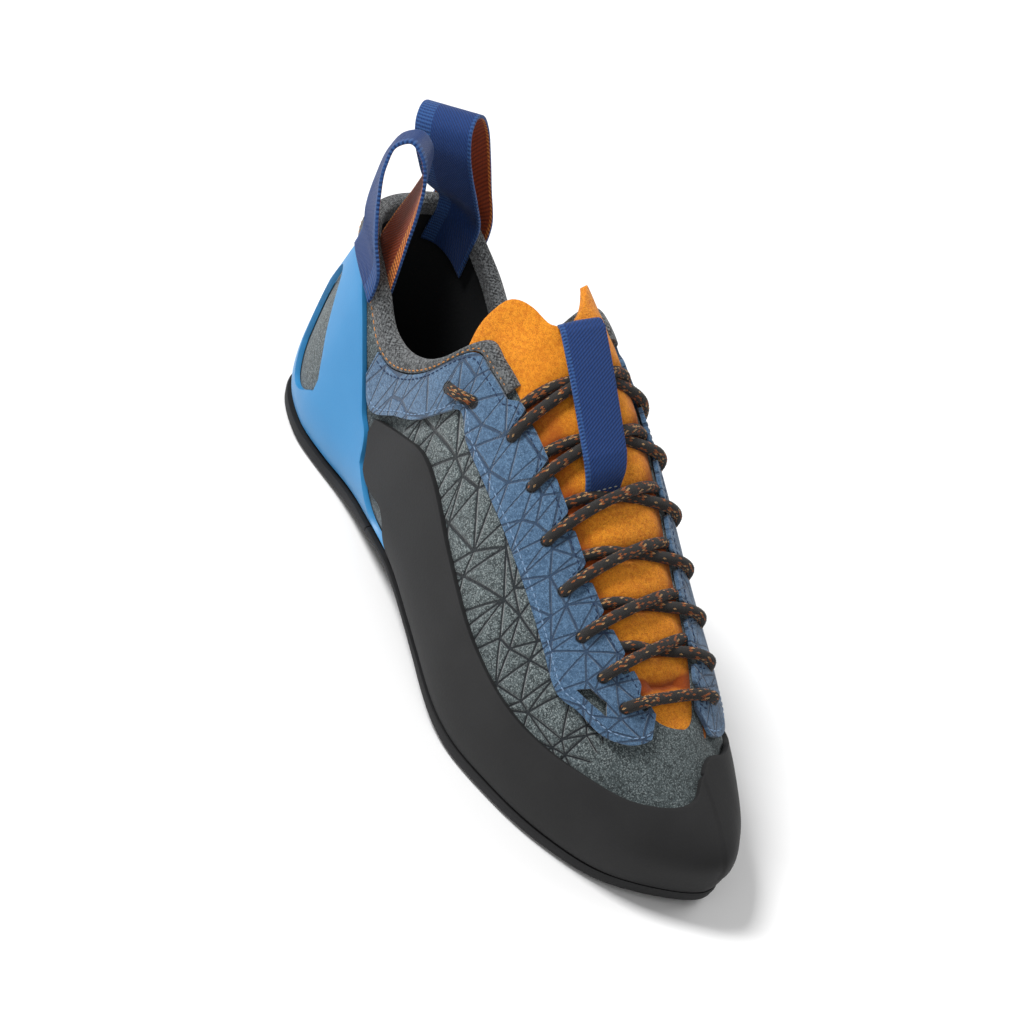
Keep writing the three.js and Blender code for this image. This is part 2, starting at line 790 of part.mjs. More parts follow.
// Pull loop: webbing stitched to both faces of the collar. back and side set where its top stands,
// turn and lean how it is twisted about the upright and tipped.
function loopShape({ place, back, side, turn, lean, tail }) {
  const half = webbingThickness / 2;
  const outside = overlayGap + bindingThickness + 4.6 * seatGap + half;
  const insideFace = -upperWall - 3 * seatGap - half;
  const rimAt = (at, distance, rise) => off(at, further(at, topEdgeAt(at), rise), distance);
  const across = skin(place + 0.01, topEdgeAt(place)).sub(skin(place - 0.01, topEdgeAt(place))).length() / 0.02;
  const reach = loopWidth / 2 / across;
  const route = [...loopRoute, [-tail / 2, 0], [-tail, 0]];
  const points = route.map(([rise, spread], i) => {
    const inner = i > loopRoute.length / 2;
    const share = clamp(rise, 0, 1);
    const height = rise * loopHeight;
    return [-1, 0, 1].map((w) => {
      const foot = rimAt(place + w * reach, inner ? insideFace : outside, Math.min(height, 0));
      const centre = rimAt(place, (outside + insideFace) / 2, 0);
      const angle = turn * share * rad;
      const outward = rimAt(place, 1, 0).sub(rimAt(place, 0, 0)).setZ(0).normalize();
      outward.applyAxisAngle(new THREE.Vector3(0, 0, 1), angle);
      const sideways = outward.clone().cross(new THREE.Vector3(0, 0, -1));
      sideways.applyAxisAngle(outward, -lean * share * rad);
      const free = centre.clone().addScaledVector(outward, spread * loopWidth);
      free.addScaledVector(sideways, w * (loopWidth / 2));
      free.add(new THREE.Vector3(back * share, side * share, height));
      const held = 1 - THREE.MathUtils.smoothstep(rise, 0.04, 0.35);
      if (rise > 0) foot.z += height;
      return free.lerp(foot, held);
    });
  });
  const lines = [0, 1, 2].map((w) => new THREE.CatmullRomCurve3(points.map((p) => p[w]), false, "centripetal"));
  const sections = steps(0, 1, 22).map((way) => {
    const row = lines.map((line) => line.getPoint(way));
    const along = lines[1].getTangent(way);
    const face = row[2].clone().sub(row[0]).cross(along).normalize();
    const shifted = (t) => row.map((p) => p.clone().addScaledVector(face, t * half));
    return { outer: shifted(1), inner: shifted(-1), start: row[0].clone(), end: row[2].clone() };
  });
  return layer(sections);
}

const suede = new THREE.MeshStandardMaterial({ color: 0x4a5252, roughness: 0.95, metalness: 0 });
const blackRubber = new THREE.MeshStandardMaterial({ color: 0x17181a, roughness: 0.7, metalness: 0 });
const board = new THREE.MeshStandardMaterial({ color: 0x22252a, roughness: 0.95, metalness: 0 });
const blueRubber = new THREE.MeshStandardMaterial({ color: 0x2f7fc4, roughness: 0.45, metalness: 0 });
const steelBlue = new THREE.MeshStandardMaterial({ color: 0x4d6f93, roughness: 0.9, metalness: 0 });
const greyKnit = new THREE.MeshStandardMaterial({ color: 0x565a5c, roughness: 0.95, metalness: 0 });
const navyWebbing = new THREE.MeshStandardMaterial({ color: 0x153a78, roughness: 0.8, metalness: 0 });
const laceCord = new THREE.MeshStandardMaterial({ color: 0x2a2422, roughness: 0.85, metalness: 0 });
const orangeSuede = new THREE.MeshStandardMaterial({ color: 0xd9751c, roughness: 0.95, metalness: 0 });

const shoe = new THREE.Group();
shoe.position.x = -heelRestShare * lastLength;

function add(name, geometry, material) {
  const mesh = new THREE.Mesh(geometry, material);
  mesh.name = name;
  shoe.add(mesh);
}

const splitGapShare = seatGap / lastLength / 2;

const lateralLoop = { place: 1.94, back: -14, side: 9.6, turn: -35, lean: -20, tail: 0.3 };
const medialLoop = { place: 17.95, back: -11, side: -12.5, turn: 0, lean: 16, tail: 0.42 };

add("upper", upperShape(), suede);
add("outsole", soleShape(soleSplit + splitGapShare, 1, 30), blackRubber);
add("heel_sole", soleShape(0, soleSplit - splitGapShare, 18), blackRubber);
add("insole", insoleShape(), board);
add("tongue", tongueSolid(), orangeSuede);

add("heel_rand", heelRandShape(), blueRubber);
add("toe_rand", toeRandShape(), blackRubber);
add("collar_binding", bindingShape(), greyKnit);
const edgeOf = (table) => (place) => curve(table, place)[0];
const outerFacing = { from: firstOf(eyestayLow), to: lastOf(eyestayLow), low: edgeOf(eyestayLow), side: -1 };
const innerFacing = {
  from: firstOf(eyestayLowInner),
  to: lastOf(eyestayLowInner),
  low: edgeOf(eyestayLowInner),
  side: 1,
};
add("eyestay_lateral", eyestayShape(outerFacing), steelBlue);
add("eyestay_medial", eyestayShape(innerFacing), steelBlue);
add("tongue_tab", tabShape(), navyWebbing);
add("pull_loop_lateral", loopShape(lateralLoop), navyWebbing);
add("pull_loop_medial", loopShape(medialLoop), navyWebbing);
steps(0, eyelets.length - 2, eyelets.length - 2).forEach((k) => {
  add(`lace_cross_${k + 1}`, crossShape(k), laceCord);
});
add("lace_bar", cord(barRoute(eyelets.length - 1), laceDiameter), laceCord);

const model = new THREE.Group();
model.add(shoe);
export default model;
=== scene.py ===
import math
import bpy
import numpy as np
from mathutils import Matrix, Vector, geometry


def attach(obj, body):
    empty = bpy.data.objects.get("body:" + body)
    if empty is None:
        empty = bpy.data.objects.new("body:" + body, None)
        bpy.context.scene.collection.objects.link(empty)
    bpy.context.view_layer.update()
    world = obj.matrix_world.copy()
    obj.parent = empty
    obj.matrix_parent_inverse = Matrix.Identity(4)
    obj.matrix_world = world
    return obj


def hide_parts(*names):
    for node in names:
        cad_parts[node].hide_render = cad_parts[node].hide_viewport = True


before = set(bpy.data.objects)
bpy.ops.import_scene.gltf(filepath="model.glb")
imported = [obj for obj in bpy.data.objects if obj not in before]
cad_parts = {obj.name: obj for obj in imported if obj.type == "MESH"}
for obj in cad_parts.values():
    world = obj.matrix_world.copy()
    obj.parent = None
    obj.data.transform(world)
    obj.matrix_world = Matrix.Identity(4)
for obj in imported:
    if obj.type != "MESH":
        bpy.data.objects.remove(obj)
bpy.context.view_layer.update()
bpy.ops.object.select_all(action="DESELECT")

# sizes in mm, as in the part
shoe = {
    "length": 243.0, "ballWidth": 88.0, "instep": 86.0, "archLift": 8.0, "sole": 4.5, "wall": 2.0,
    "margin": 9.0, "rand": 1.8, "facing": 1.4, "binding": 1.4, "bindingWidth": 5.0, "lace": 3.8,
    "webbing": 1.2, "loopWidth": 19.0, "tabWidth": 14.0, "insole": 3.0,
    "insoleInset": 5.2, "tongue": 2.4, "tongueGap": 0.8, "tongueEnd": 0.86, "gap": 0.3,
    "heelRest": 0.13, "split": 0.37, "laceBack": 6.0,
}
heelRestX = shoe["heelRest"] * shoe["length"]

# x and spine are shares of the length, y and tuck of the ball width, wide of the instep height
ribs = np.array([
    # x, y, spine, tuck, wide, flank, crown
    [0.013, 0.0, 0.135, 0.055, 0.25, 2.1, 3.6],  # heel back
    [0.04, -0.21, 0.135, 0.055, 0.24, 2.1, 3.6],  # heel corner
    [0.126, -0.307, 0.135, 0.06, 0.21, 2.1, 3.4],  # heel side
    [0.25, -0.301, 0.25, 0.08, 0.19, 2.0, 2.7],  # rear waist
    [0.38, -0.365, 0.38, 0.09, 0.18, 1.8, 2.03],  # waist
    [0.52, -0.425, 0.52, 0.06, 0.15, 1.65, 1.97],  # midfoot
    [0.655, -0.468, 0.65, 0.035, 0.13, 1.65, 2.03],  # ball
    [0.766, -0.415, 0.725, 0.028, 0.12, 1.85, 2.38],  # forefoot
    [0.859, -0.314, 0.755, 0.028, 0.11, 2.1, 2.79],  # little toe
    [0.936, -0.15, 0.765, 0.028, 0.105, 2.3, 2.94],  # toe corner
    [0.984, 0.11, 0.765, 0.028, 0.105, 2.3, 2.92],  # toe tip
    [0.948, 0.254, 0.765, 0.028, 0.105, 2.3, 3.07],  # big-toe corner
    [0.876, 0.344, 0.755, 0.028, 0.11, 2.1, 2.88],  # big toe
    [0.747, 0.401, 0.725, 0.035, 0.13, 2.0, 3.0],  # big-toe ball
    [0.56, 0.372, 0.56, 0.06, 0.15, 2.2, 3.16],  # inner midfoot
    [0.4, 0.292, 0.4, 0.085, 0.19, 2.3, 3.18],  # arch
    [0.25, 0.269, 0.25, 0.07, 0.2, 2.05, 2.9],  # inner rear waist
    [0.126, 0.294, 0.135, 0.06, 0.21, 2.1, 3.4],  # inner heel side
    [0.039, 0.194, 0.135, 0.055, 0.24, 2.1, 3.6],  # inner heel corner
])
ribCount = len(ribs)
toeRib = 10

# share of length, height by instep height, y by ball width
ridge = [
    [0.0, 1.48, 0.0], [0.15, 1.46, 0.0], [0.3, 1.375, 0.0], [0.42, 1.235, 0.005], [0.55, 1.015, 0.012],
    [0.68, 0.77, 0.025], [0.8, 0.575, 0.05], [0.9, 0.415, 0.085], [1.0, 0.325, 0.13],
]
# share of length, share of the arch lift
lift = [
    [0.0, 0.45], [0.03, 0.14], [0.06, 0.01], [0.075, 0.0], [0.185, 0.0], [0.2, 0.01], [0.3, 0.45],
    [0.42, 1.0], [0.55, 0.62], [0.66, 0.12], [0.7, 0.01], [0.72, 0.0], [0.88, 0.0], [0.91, 0.02],
    [1.0, 0.42],
]
# share of length, share of the sole's thickness
soleTaper = [
    [0.0, 0.85], [0.06, 1.0], [0.24, 1.0], [0.36, 0.6], [0.5, 0.55], [0.6, 0.85], [0.68, 1.0], [1.0, 1.0],
]
# place in ribs, climb of the collar's and throat's edge
topEdge = [
    [0.0, 29.5], [1.0, 30.0], [1.6, 29.3], [2.3, 26.8], [2.65, 22.9], [3.05, 24.5], [3.5, 34.9],
    [3.8, 49.9], [4.05, 52.3], [4.4, 55.8], [5.05, 62.7], [5.7, 67.6], [6.5, 72.0], [7.2, 76.0],
    [8.0, 78.5], [9.0, 77.0], [10.0, 77.5], [11.0, 76.5], [12.0, 75.5], [13.0, 74.5], [13.7, 70.5],
    [14.4, 63.0], [14.8, 58.0], [15.1, 62.0], [15.35, 56.0], [15.7, 34.0], [16.1, 22.5], [16.5, 21.5],
    [17.2, 25.0], [17.7, 29.0], [18.4, 30.5], [19.0, 29.5],
]


def curve(rows, at, column=0):
    table = np.asarray(rows, float)
    x, y = table[:, 0], table[:, 1 + column]
    at = np.clip(np.asarray(at, float), x[0], x[-1])
    i = np.clip(np.searchsorted(x, at, side="right") - 1, 0, len(x) - 2)
    chord = np.diff(y) / np.diff(x)
    slope = np.empty_like(y)
    slope[0], slope[-1] = chord[0], chord[-1]
    before, after = x[1:-1] - x[:-2], x[2:] - x[1:-1]
    slope[1:-1] = (chord[:-1] * after + chord[1:] * before) / (before + after)
    span = x[i + 1] - x[i]
    s = (at - x[i]) / span
    bend = slope[i] * span * s * (1 - s) ** 2 + slope[i + 1] * span * s * s * (s - 1)
    return y[i] * (1 + 2 * s) * (1 - s) ** 2 + y[i + 1] * s * s * (3 - 2 * s) + bend


def unit(vectors): return vectors / np.linalg.norm(vectors, axis=-1, keepdims=True)


def smooth(low, high, value):
    s = np.clip((np.asarray(value, float) - low) / (high - low), 0, 1)
    return s * s * (3 - 2 * s)


def ribAt(place):
    wrapped = np.mod(np.asarray(place, float), ribCount)
    i = np.floor(wrapped).astype(int) % ribCount
    s = (wrapped - np.floor(wrapped))[..., None]
    before, here, after, beyond = (ribs[(i + k) % ribCount] for k in (-1, 0, 1, 2))
    bend = (after - before) / 2 * s * (1 - s) ** 2 + (beyond - here) / 2 * s * s * (s - 1)
    return here * (1 + 2 * s) * (1 - s) ** 2 + after * s * s * (3 - 2 * s) + bend


def ridgeHeight(x): return curve(ridge, x / shoe["length"]) * shoe["instep"]
def ridgeY(x): return curve(ridge, x / shoe["length"], 1) * shoe["ballWidth"]
def liftAt(x): return shoe["archLift"] * np.maximum(0, curve(lift, x / shoe["length"]))
def seatHeight(x): return shoe["sole"] + shoe["gap"] + liftAt(x)
def topAt(place): return curve(topEdge, np.mod(place, ribCount))


# the last: place counts the ribs, climb goes from -90 at the feather edge to 90 on the ridge
def skin(place, climb):
    place, climb = np.broadcast_arrays(np.asarray(place, float), np.asarray(climb, float))
    rib = ribAt(place)
    baseX, baseY = rib[..., 0] * shoe["length"], rib[..., 1] * shoe["ballWidth"]
    spineX = rib[..., 2] * shoe["length"]
    spineY = ridgeY(spineX)
    up = np.radians(np.clip(climb, 0, 90))
    down = np.radians(np.clip(-climb, 0, 90))
    under = np.maximum(-climb - 90, 0)
    span = np.hypot(baseX - spineX, baseY - spineY)
    tucked = np.where(climb < 0, (rib[..., 3] * shoe["ballWidth"] * (1 - np.cos(down)) + under) / span, 0)
    reach = np.cos(up) ** (2 / rib[..., 6]) - tucked
    x, y = spineX + (baseX - spineX) * reach, spineY + (baseY - spineY) * reach
    low = seatHeight(x)
    wide = low + rib[..., 4] * shoe["instep"]
    rise = np.sin(up) ** (2 / rib[..., 5])
    z = np.where(climb > 0, wide + (ridgeHeight(x) - wide) * rise, wide - (wide - low) * np.sin(down))
    return np.stack([x, y, z], -1)


def normalAt(place, climb):
    across = np.minimum(climb, 88.5)
    along = skin(place - 0.02, across) - skin(place + 0.02, across)
    upward = skin(place, across - 1) - skin(place, across + 1)
    return unit(np.cross(along, upward))


def off(place, climb, distance):
    place, climb = np.broadcast_arrays(np.asarray(place, float), np.asarray(climb, float))
    return skin(place, climb) + normalAt(place, climb) * np.broadcast_to(distance, place.shape)[..., None]


# climb of the point that lies some mm further up the rib
def further(place, climb, mm):
    step = np.linalg.norm(skin(place, climb + 1) - skin(place, climb - 1), axis=-1) / 2
    return climb + mm / step


# place and climb under a plan point
def over(x, y):
    x, y = np.broadcast_arrays(np.asarray(x, float), np.asarray(y, float))
    inner = y > ridgeY(x)
    low, high = np.where(inner, 10.0, 2.0), np.where(inner, 17.0, 10.0)

    def turn(place):
        rib = ribAt(place)
        spineX = rib[..., 2] * shoe["length"]
        spineY = ridgeY(spineX)
        toX, toY = rib[..., 0] * shoe["length"] - spineX, rib[..., 1] * shoe["ballWidth"] - spineY
        cross = toX * (y - spineY) - toY * (x - spineX)
        return cross, np.hypot(x - spineX, y - spineY) / np.hypot(toX, toY), rib[..., 6]

    start = turn(low)[0]
    for _ in range(36):
        middle = (low + high) / 2
        ahead = turn(middle)[0] * start > 0
        low, high = np.where(ahead, middle, low), np.where(ahead, high, middle)
    _, reach, crown = turn(low)
    return low, np.degrees(np.arccos(np.minimum(1, reach ** (crown / 2))))


def overInstep(x, across, distance):
    place, climb = over(x, ridgeY(np.asarray(x, float)) + across)
    return off(place, climb, distance)


# mm along the top edge in one rib
def edgePerRib(place, step):
    top = topAt(place)
    return np.linalg.norm(skin(place + step, top) - skin(place - step, top)) / (2 * step)


# distance of the throat's edge from the ridge line, on one side
def throatEdge(x, side):
    openY, covered = 0.0, shoe["ballWidth"] * 0.4
    for _ in range(20):
        middle = (openY + covered) / 2
        place, climb = over(x, ridgeY(x) + side * middle)
        openY, covered = (middle, covered) if climb > topAt(place) else (openY, middle)
    return openY


print("last and its net are ready")


# small class for shader maths: expressions on values add Math nodes
class Value:
    def __init__(self, paint, socket):
        self.paint, self.socket = paint, socket

    def maths(self, operation, *values):
        return self.paint.node("ShaderNodeMath", {"operation": operation}, dict(enumerate(values)))

    def __add__(self, other): return self.maths("ADD", self, other)
    def __radd__(self, other): return self.maths("ADD", other, self)
    def __sub__(self, other): return self.maths("SUBTRACT", self, other)
    def __rsub__(self, other): return self.maths("SUBTRACT", other, self)
    def __mul__(self, other): return self.maths("MULTIPLY", self, other)
    def __rmul__(self, other): return self.maths("MULTIPLY", other, self)
    def __truediv__(self, other): return self.maths("DIVIDE", self, other)

    def abs(self): return self.maths("ABSOLUTE", self)
    def sin(self): return self.maths("SINE", self)
    def floor(self): return self.maths("FLOOR", self)

    # 0 below low, 1 above high, with a soft step between
    def step(self, low, high):
        inputs = {"Value": self, "From Min": low, "From Max": high}
        return self.paint.node("ShaderNodeMapRange", {"interpolation_type": "SMOOTHSTEP"}, inputs)


class Paint:
    def __init__(self, name):
        self.material = bpy.data.materials.new(name)
        self.material.use_nodes = True
        self.tree = self.material.node_tree
        self.shader = self.tree.nodes["Principled BSDF"]

    def node(self, kind, settings=None, inputs=None, out=0):
        node = self.tree.nodes.new(kind)
        for name, value in (settings or {}).items():
            setattr(node, name, value)
        for name, value in (inputs or {}).items():
            self.feed(node.inputs[name], value)
        return Value(self, node.outputs[out])

    def feed(self, socket, value):
        if isinstance(value, Value):
            self.tree.links.new(value.socket, socket)
        elif socket.type == "RGBA":
            socket.default_value = (*value, 1.0)
        else:
            socket.default_value = value

    def set(self, **values):
        for name, value in values.items():
            self.feed(self.shader.inputs[name.replace("_", " ")], value)

    # what is linked to the shader's base colour so far
    def base(self): return Value(self, self.shader.inputs["Base Color"].links[0].from_socket)

    def place(self): return self.node("ShaderNodeTexCoord", out="Object")

    def noise(self, scale, detail=2.0, rough=0.5):
        inputs = {"Vector": self.place(), "Scale": scale, "Detail": detail, "Roughness": rough}
        return self.node("ShaderNodeTexNoise", None, inputs)

    def own(self, name): return self.node("ShaderNodeAttribute", {"attribute_name": name}, out="Fac")

    def uv(self):
        split = self.tree.nodes.new("ShaderNodeSeparateXYZ")
        self.tree.links.new(self.node("ShaderNodeUVMap", {"uv_map": "UVMap"}).socket, split.inputs[0])
        return Value(self, split.outputs[0]), Value(self, split.outputs[1])

    def mix(self, share, first, second):
        node = self.tree.nodes.new("ShaderNodeMix")
        node.data_type = "RGBA"
        for k, value in ((0, share), (6, first), (7, second)):
            self.feed(node.inputs[k], value)
        return Value(self, node.outputs[2])

    def random(self, *values):
        where = self.node("ShaderNodeCombineXYZ", None, dict(enumerate(values)))
        return self.node("ShaderNodeTexWhiteNoise", {"noise_dimensions": "3D"}, {"Vector": where})

    # height is a share of the depth, and the depth is in mm
    def bump(self, height, mm):
        inputs = {"Height": height, "Distance": mm / 1000, "Strength": 1.0}
        self.set(Normal=self.node("ShaderNodeBump", None, inputs))


def suede(name, dark, light, speck, share=0.56, nap=0.3, scale=2100):
    paint = Paint(name)
    fine, grain, patch = paint.noise(scale, 1.0, 0.7), paint.noise(800, 3.0, 0.6), paint.noise(60, 2.0)
    base = paint.mix(grain.step(0.34, 0.66), dark, light)
    base = paint.mix(fine.step(share, share + 0.07) * 0.85, base, speck)
    base = paint.mix((1.0 - fine).step(0.56, 0.64) * 0.6, base, tuple(c * 0.35 for c in dark))
    base = paint.mix(patch.step(0.25, 0.75) * 0.25, base, dark)
    paint.set(Base_Color=base, Roughness=0.9 + grain * 0.08, Specular_IOR_Level=0.2)
    paint.set(Sheen_Weight=nap, Sheen_Roughness=0.5)
    paint.bump(fine * 0.7 + grain * 0.6, 0.3)
    return paint


def rubber(name, colour, dull, rough, coat=0.0):
    paint = Paint(name)
    cloud, grain = paint.noise(35, 3.0), paint.noise(1400, 2.0, 0.6)
    base = paint.mix(cloud.step(0.3, 0.75) * 0.5, colour, dull)
    paint.set(Base_Color=base, Roughness=rough + cloud * 0.14 + grain * 0.08, Specular_IOR_Level=0.32)
    paint.set(Coat_Weight=coat, Coat_Roughness=0.35)
    paint.bump(grain + cloud * 2.0, 0.05)
    return paint


# pressed lines follow the attribute "line", a distance in mm from the nearest line
def pressed(paint, ink, width, depth, share=0.92):
    mark = 1.0 - paint.own("line").step(width * 0.5, width)
    height = paint.shader.inputs["Normal"].links[0].from_node.inputs["Height"]
    grain = Value(paint, height.links[0].from_socket)
    paint.set(Base_Color=paint.mix(mark * share, paint.base(), ink))
    paint.bump(grain - mark * depth * 8, 0.3)


# goes between 0 and 1 once in every pitch
def wave(value, pitch): return (value * 2 * math.pi / pitch).sin() * 0.5 + 0.5


# woven band on its own map in mm: slanting ribs and two selvedges
def webbing(name, colour, dark, edge, width):
    paint = Paint(name)
    along, across = paint.uv()
    rib = wave(along + across, 1.3)
    thread = wave(across, 0.8)
    rim = (across - width / 2).abs().step(width / 2 - 1.5, width / 2 - 1.1)
    stitch = wave(along, 1.2)
    base = paint.mix(rib * 0.6 + thread * 0.25 + paint.noise(1500) * 0.3, dark, colour)
    base = paint.mix(rim * stitch * 0.8, base, edge)
    paint.set(Base_Color=base, Roughness=0.66 + paint.noise(900) * 0.2)
    paint.set(Sheen_Weight=0.1, Specular_IOR_Level=0.3)
    paint.bump(rib * 0.6 + thread * 0.25 + rim * stitch * 0.6, 0.22)
    return paint


colours = {
    "grey": (0.036, 0.046, 0.048), "greyLight": (0.115, 0.142, 0.146), "speck": (0.27, 0.31, 0.31),
    "blue": (0.09, 0.172, 0.285), "blueDark": (0.044, 0.094, 0.17), "ink": (0.008, 0.011, 0.014),
    "blueInk": (0.018, 0.035, 0.07), "azure": (0.027, 0.215, 0.47), "azureDull": (0.045, 0.26, 0.53),
    "navy": (0.005, 0.042, 0.185), "navyDark": (0.002, 0.012, 0.06), "navyEdge": (0.03, 0.1, 0.28),
    "orange": (0.78, 0.29, 0.018), "orangeDark": (0.6, 0.18, 0.01), "orangeSpeck": (0.88, 0.36, 0.04),
    # the first colour in the next line is painted shade, the dark rust of the tongue's hollows under and
    # beside the laces
    "orangeShade": (0.25, 0.04, 0.006), "greyPlain": (0.092, 0.115, 0.119),
    "greyPlainSpeck": (0.225, 0.26, 0.262), "blueSpeck": (0.15, 0.25, 0.38),
    "black": (0.012, 0.012, 0.0125),
    "blackDull": (0.026, 0.026, 0.027), "sole": (0.01, 0.01, 0.011), "soleDull": (0.018, 0.018, 0.019),
    # the colour "hole" in the next line is painted shade for the open eyelet holes
    "lining": (0.004, 0.005, 0.006), "hole": (0.003, 0.004, 0.006), "knit": (0.19, 0.2, 0.205),
    "knitDark": (0.008, 0.009, 0.01), "rust": (0.3, 0.05, 0.01), "rustDark": (0.09, 0.012, 0.004),
    "rustEdge": (0.75, 0.27, 0.05), "cord": (0.035, 0.03, 0.027), "cordDark": (0.003, 0.003, 0.003),
    "fleck": (0.5, 0.13, 0.02), "fleckPale": (0.7, 0.4, 0.16), "stitch": (0.22, 0.34, 0.52),
    "stitchOrange": (0.62, 0.26, 0.07), "stitchPale": (0.5, 0.5, 0.42),
    "stitchNavy": (0.015, 0.035, 0.09), "floor": (0.9, 0.9, 0.9),
}


# a paint from one of the functions for paints, with its colours by name
def inColours(make, name, tones, *settings):
    return make(name, *(colours[tone] for tone in tones.split()), *settings)


suedePaint = inColours(suede, "charcoalSuede", "grey greyPlain greyPlainSpeck", 0.56, 0.2)
orangePaint = inColours(suede, "orangeSuede", "orangeDark orange orangeSpeck", 0.62, 0.12, 3400)
# painted shade on the tongue: it turns dark rust where the attribute "fold" is high, in the hollows under
# and beside the laces and at its sides under the facings
inPaintedShade = orangePaint.own("fold").step(0.12, 0.62) * 0.92
orangePaint.set(Base_Color=orangePaint.mix(inPaintedShade, orangePaint.base(), colours["orangeShade"]))
azurePaint = inColours(rubber, "azureRubber", "azure azureDull", 0.36, 0.25)
blackPaint = inColours(rubber, "blackRubber", "black blackDull", 0.56)
solePaint = inColours(rubber, "soleRubber", "sole soleDull", 0.55)
liningPaint = Paint("darkLining")
liningPaint.set(Base_Color=colours["lining"], Roughness=0.9 + liningPaint.noise(700) * 0.1)
liningPaint.bump(liningPaint.noise(1100, 2.0), 0.15)

quiltPaint = inColours(suede, "quiltedSuede", "grey greyLight speck", 0.55)
pressed(quiltPaint, colours["ink"], 0.42, 0.14)

facingPaint = inColours(suede, "blueMicrofibre", "blueDark blue blueSpeck", 0.6, 0.3, 2600)
pressed(facingPaint, colours["blueInk"], 0.32, 0.14, 0.78)
# painted shade: a near-black disc within about 2 mm of each lace hole stands for the shaded opening, as
# the facing itself has no holes
inHoleShade = 1.0 - facingPaint.own("hole").step(1.9, 2.4)
facingPaint.set(Base_Color=facingPaint.mix(inHoleShade, facingPaint.base(), colours["hole"]))

bindingPaint = Paint("greyKnit")
knitAlong, knitAcross = bindingPaint.uv()
knit = ((knitAlong * 2 * math.pi / 1.25).sin() * (knitAcross * 2 * math.pi / 0.9).sin()) * 0.5 + 0.5
knitCloud = bindingPaint.noise(1300, 1.0, 0.7).step(0.38, 0.66)
knitBase = bindingPaint.mix(knit * 0.35 + knitCloud * 0.65, colours["knitDark"], colours["knit"])
bindingPaint.set(Base_Color=knitBase, Roughness=0.95, Sheen_Weight=0.2, Specular_IOR_Level=0.2)
bindingPaint.bump(knit + knitCloud * 0.5, 0.25)

webPaint = inColours(webbing, "navyWebbing", "navy navyDark navyEdge", shoe["loopWidth"])
tabPaint = inColours(webbing, "navyTab", "navy navyDark navyEdge", shoe["tabWidth"])
rustPaint = inColours(webbing, "rustWebbing", "rust rustDark rustEdge", shoe["loopWidth"])

# braid on the cord's own map: mm along it, and turns round it
lacePaint = Paint("laceBraid")
laceAlong, laceTurn = lacePaint.uv()
strandA = laceTurn * 16 + laceAlong / 1.5
strandB = laceTurn * 16 - laceAlong / 1.5
fleck = lacePaint.random(strandA.floor(), strandB.floor(), 0.0)
plait = (strandA * 2 * math.pi).sin() * (strandB * 2 * math.pi).sin()
dot = plait.abs().step(0.2, 0.5)
laceBase = lacePaint.mix(dot, colours["cordDark"], colours["cord"])
laceBase = lacePaint.mix(dot * fleck.step(0.76, 0.78), laceBase, colours["fleck"])
laceBase = lacePaint.mix(dot * fleck.step(0.91, 0.93), laceBase, colours["fleckPale"])
lacePaint.set(Base_Color=laceBase, Roughness=0.8, Sheen_Weight=0.1, Specular_IOR_Level=0.3)
lacePaint.bump(dot, 0.15)


def thread(name, colour):
    paint = Paint(name)
    base = paint.mix(paint.noise(3000), tuple(c * 0.55 for c in colour), colour)
    paint.set(Base_Color=base, Roughness=0.7, Specular_IOR_Level=0.3)
    return paint


blueThread = inColours(thread, "blueThread", "stitch")
orangeThread = inColours(thread, "orangeThread", "stitchOrange")
paleThread = inColours(thread, "paleThread", "stitchPale")
navyThread = inColours(thread, "navyThread", "stitchNavy")
print("materials are ready")


def metres(points):
    return (np.asarray(points, float) - [heelRestX, 0, 0]) / 1000


# a grid, laid on the shoe by a function of its two shares; both maps are in mm
def gridPiece(name, along, across, shape, size=(1, 1)):
    bpy.ops.mesh.primitive_grid_add(x_subdivisions=along, y_subdivisions=across, size=1)
    piece = bpy.context.object
    piece.name = piece.data.name = name
    mesh = piece.data
    flat = np.empty(len(mesh.vertices) * 3)
    mesh.vertices.foreach_get("co", flat)
    u, v = flat.reshape(-1, 3)[:, 0] + 0.5, flat.reshape(-1, 3)[:, 1] + 0.5
    mesh.vertices.foreach_set("co", metres(shape(u, v)).ravel())
    corners = np.empty(len(mesh.loops) * 2)
    mesh.uv_layers[0].data.foreach_get("uv", corners)
    mesh.uv_layers[0].data.foreach_set("uv", (corners.reshape(-1, 2) * size).ravel())
    mesh.uv_layers[0].name = "UVMap"
    mesh.update()
    return piece, u, v


def attribute(piece, name, values):
    layer = piece.data.attributes.new(name, "FLOAT", "POINT")
    layer.data.foreach_set("value", np.asarray(values, np.float32))


def editAll(piece, *steps):
    bpy.ops.object.select_all(action="DESELECT")
    piece.select_set(True)
    bpy.context.view_layer.objects.active = piece
    bpy.ops.object.mode_set(mode="EDIT")
    selectAll()
    for step in steps:
        step()
    bpy.ops.object.mode_set(mode="OBJECT")


def selectAll(): bpy.ops.mesh.select_all(action="SELECT")
def weld(): bpy.ops.mesh.remove_doubles(threshold=1e-6)
def outward(): bpy.ops.mesh.normals_make_consistent(inside=False)


def closeEnds():
    bpy.ops.mesh.select_all(action="DESELECT")
    bpy.ops.mesh.select_mode(type="EDGE")
    bpy.ops.mesh.select_non_manifold()
    bpy.ops.mesh.fill_holes(sides=0)


def modify(piece, kind, **settings):
    bpy.context.view_layer.objects.active = piece
    modifier = piece.modifiers.new(kind.title(), kind)
    for name, value in settings.items():
        setattr(modifier, name, value)
    bpy.ops.object.modifier_apply(modifier=modifier.name)


def bevel(piece, mm, segments=2, angle=50):
    limit = {"limit_method": "ANGLE", "angle_limit": math.radians(angle), "use_clamp_overlap": True}
    modify(piece, "BEVEL", width=mm / 1000, segments=segments, **limit)


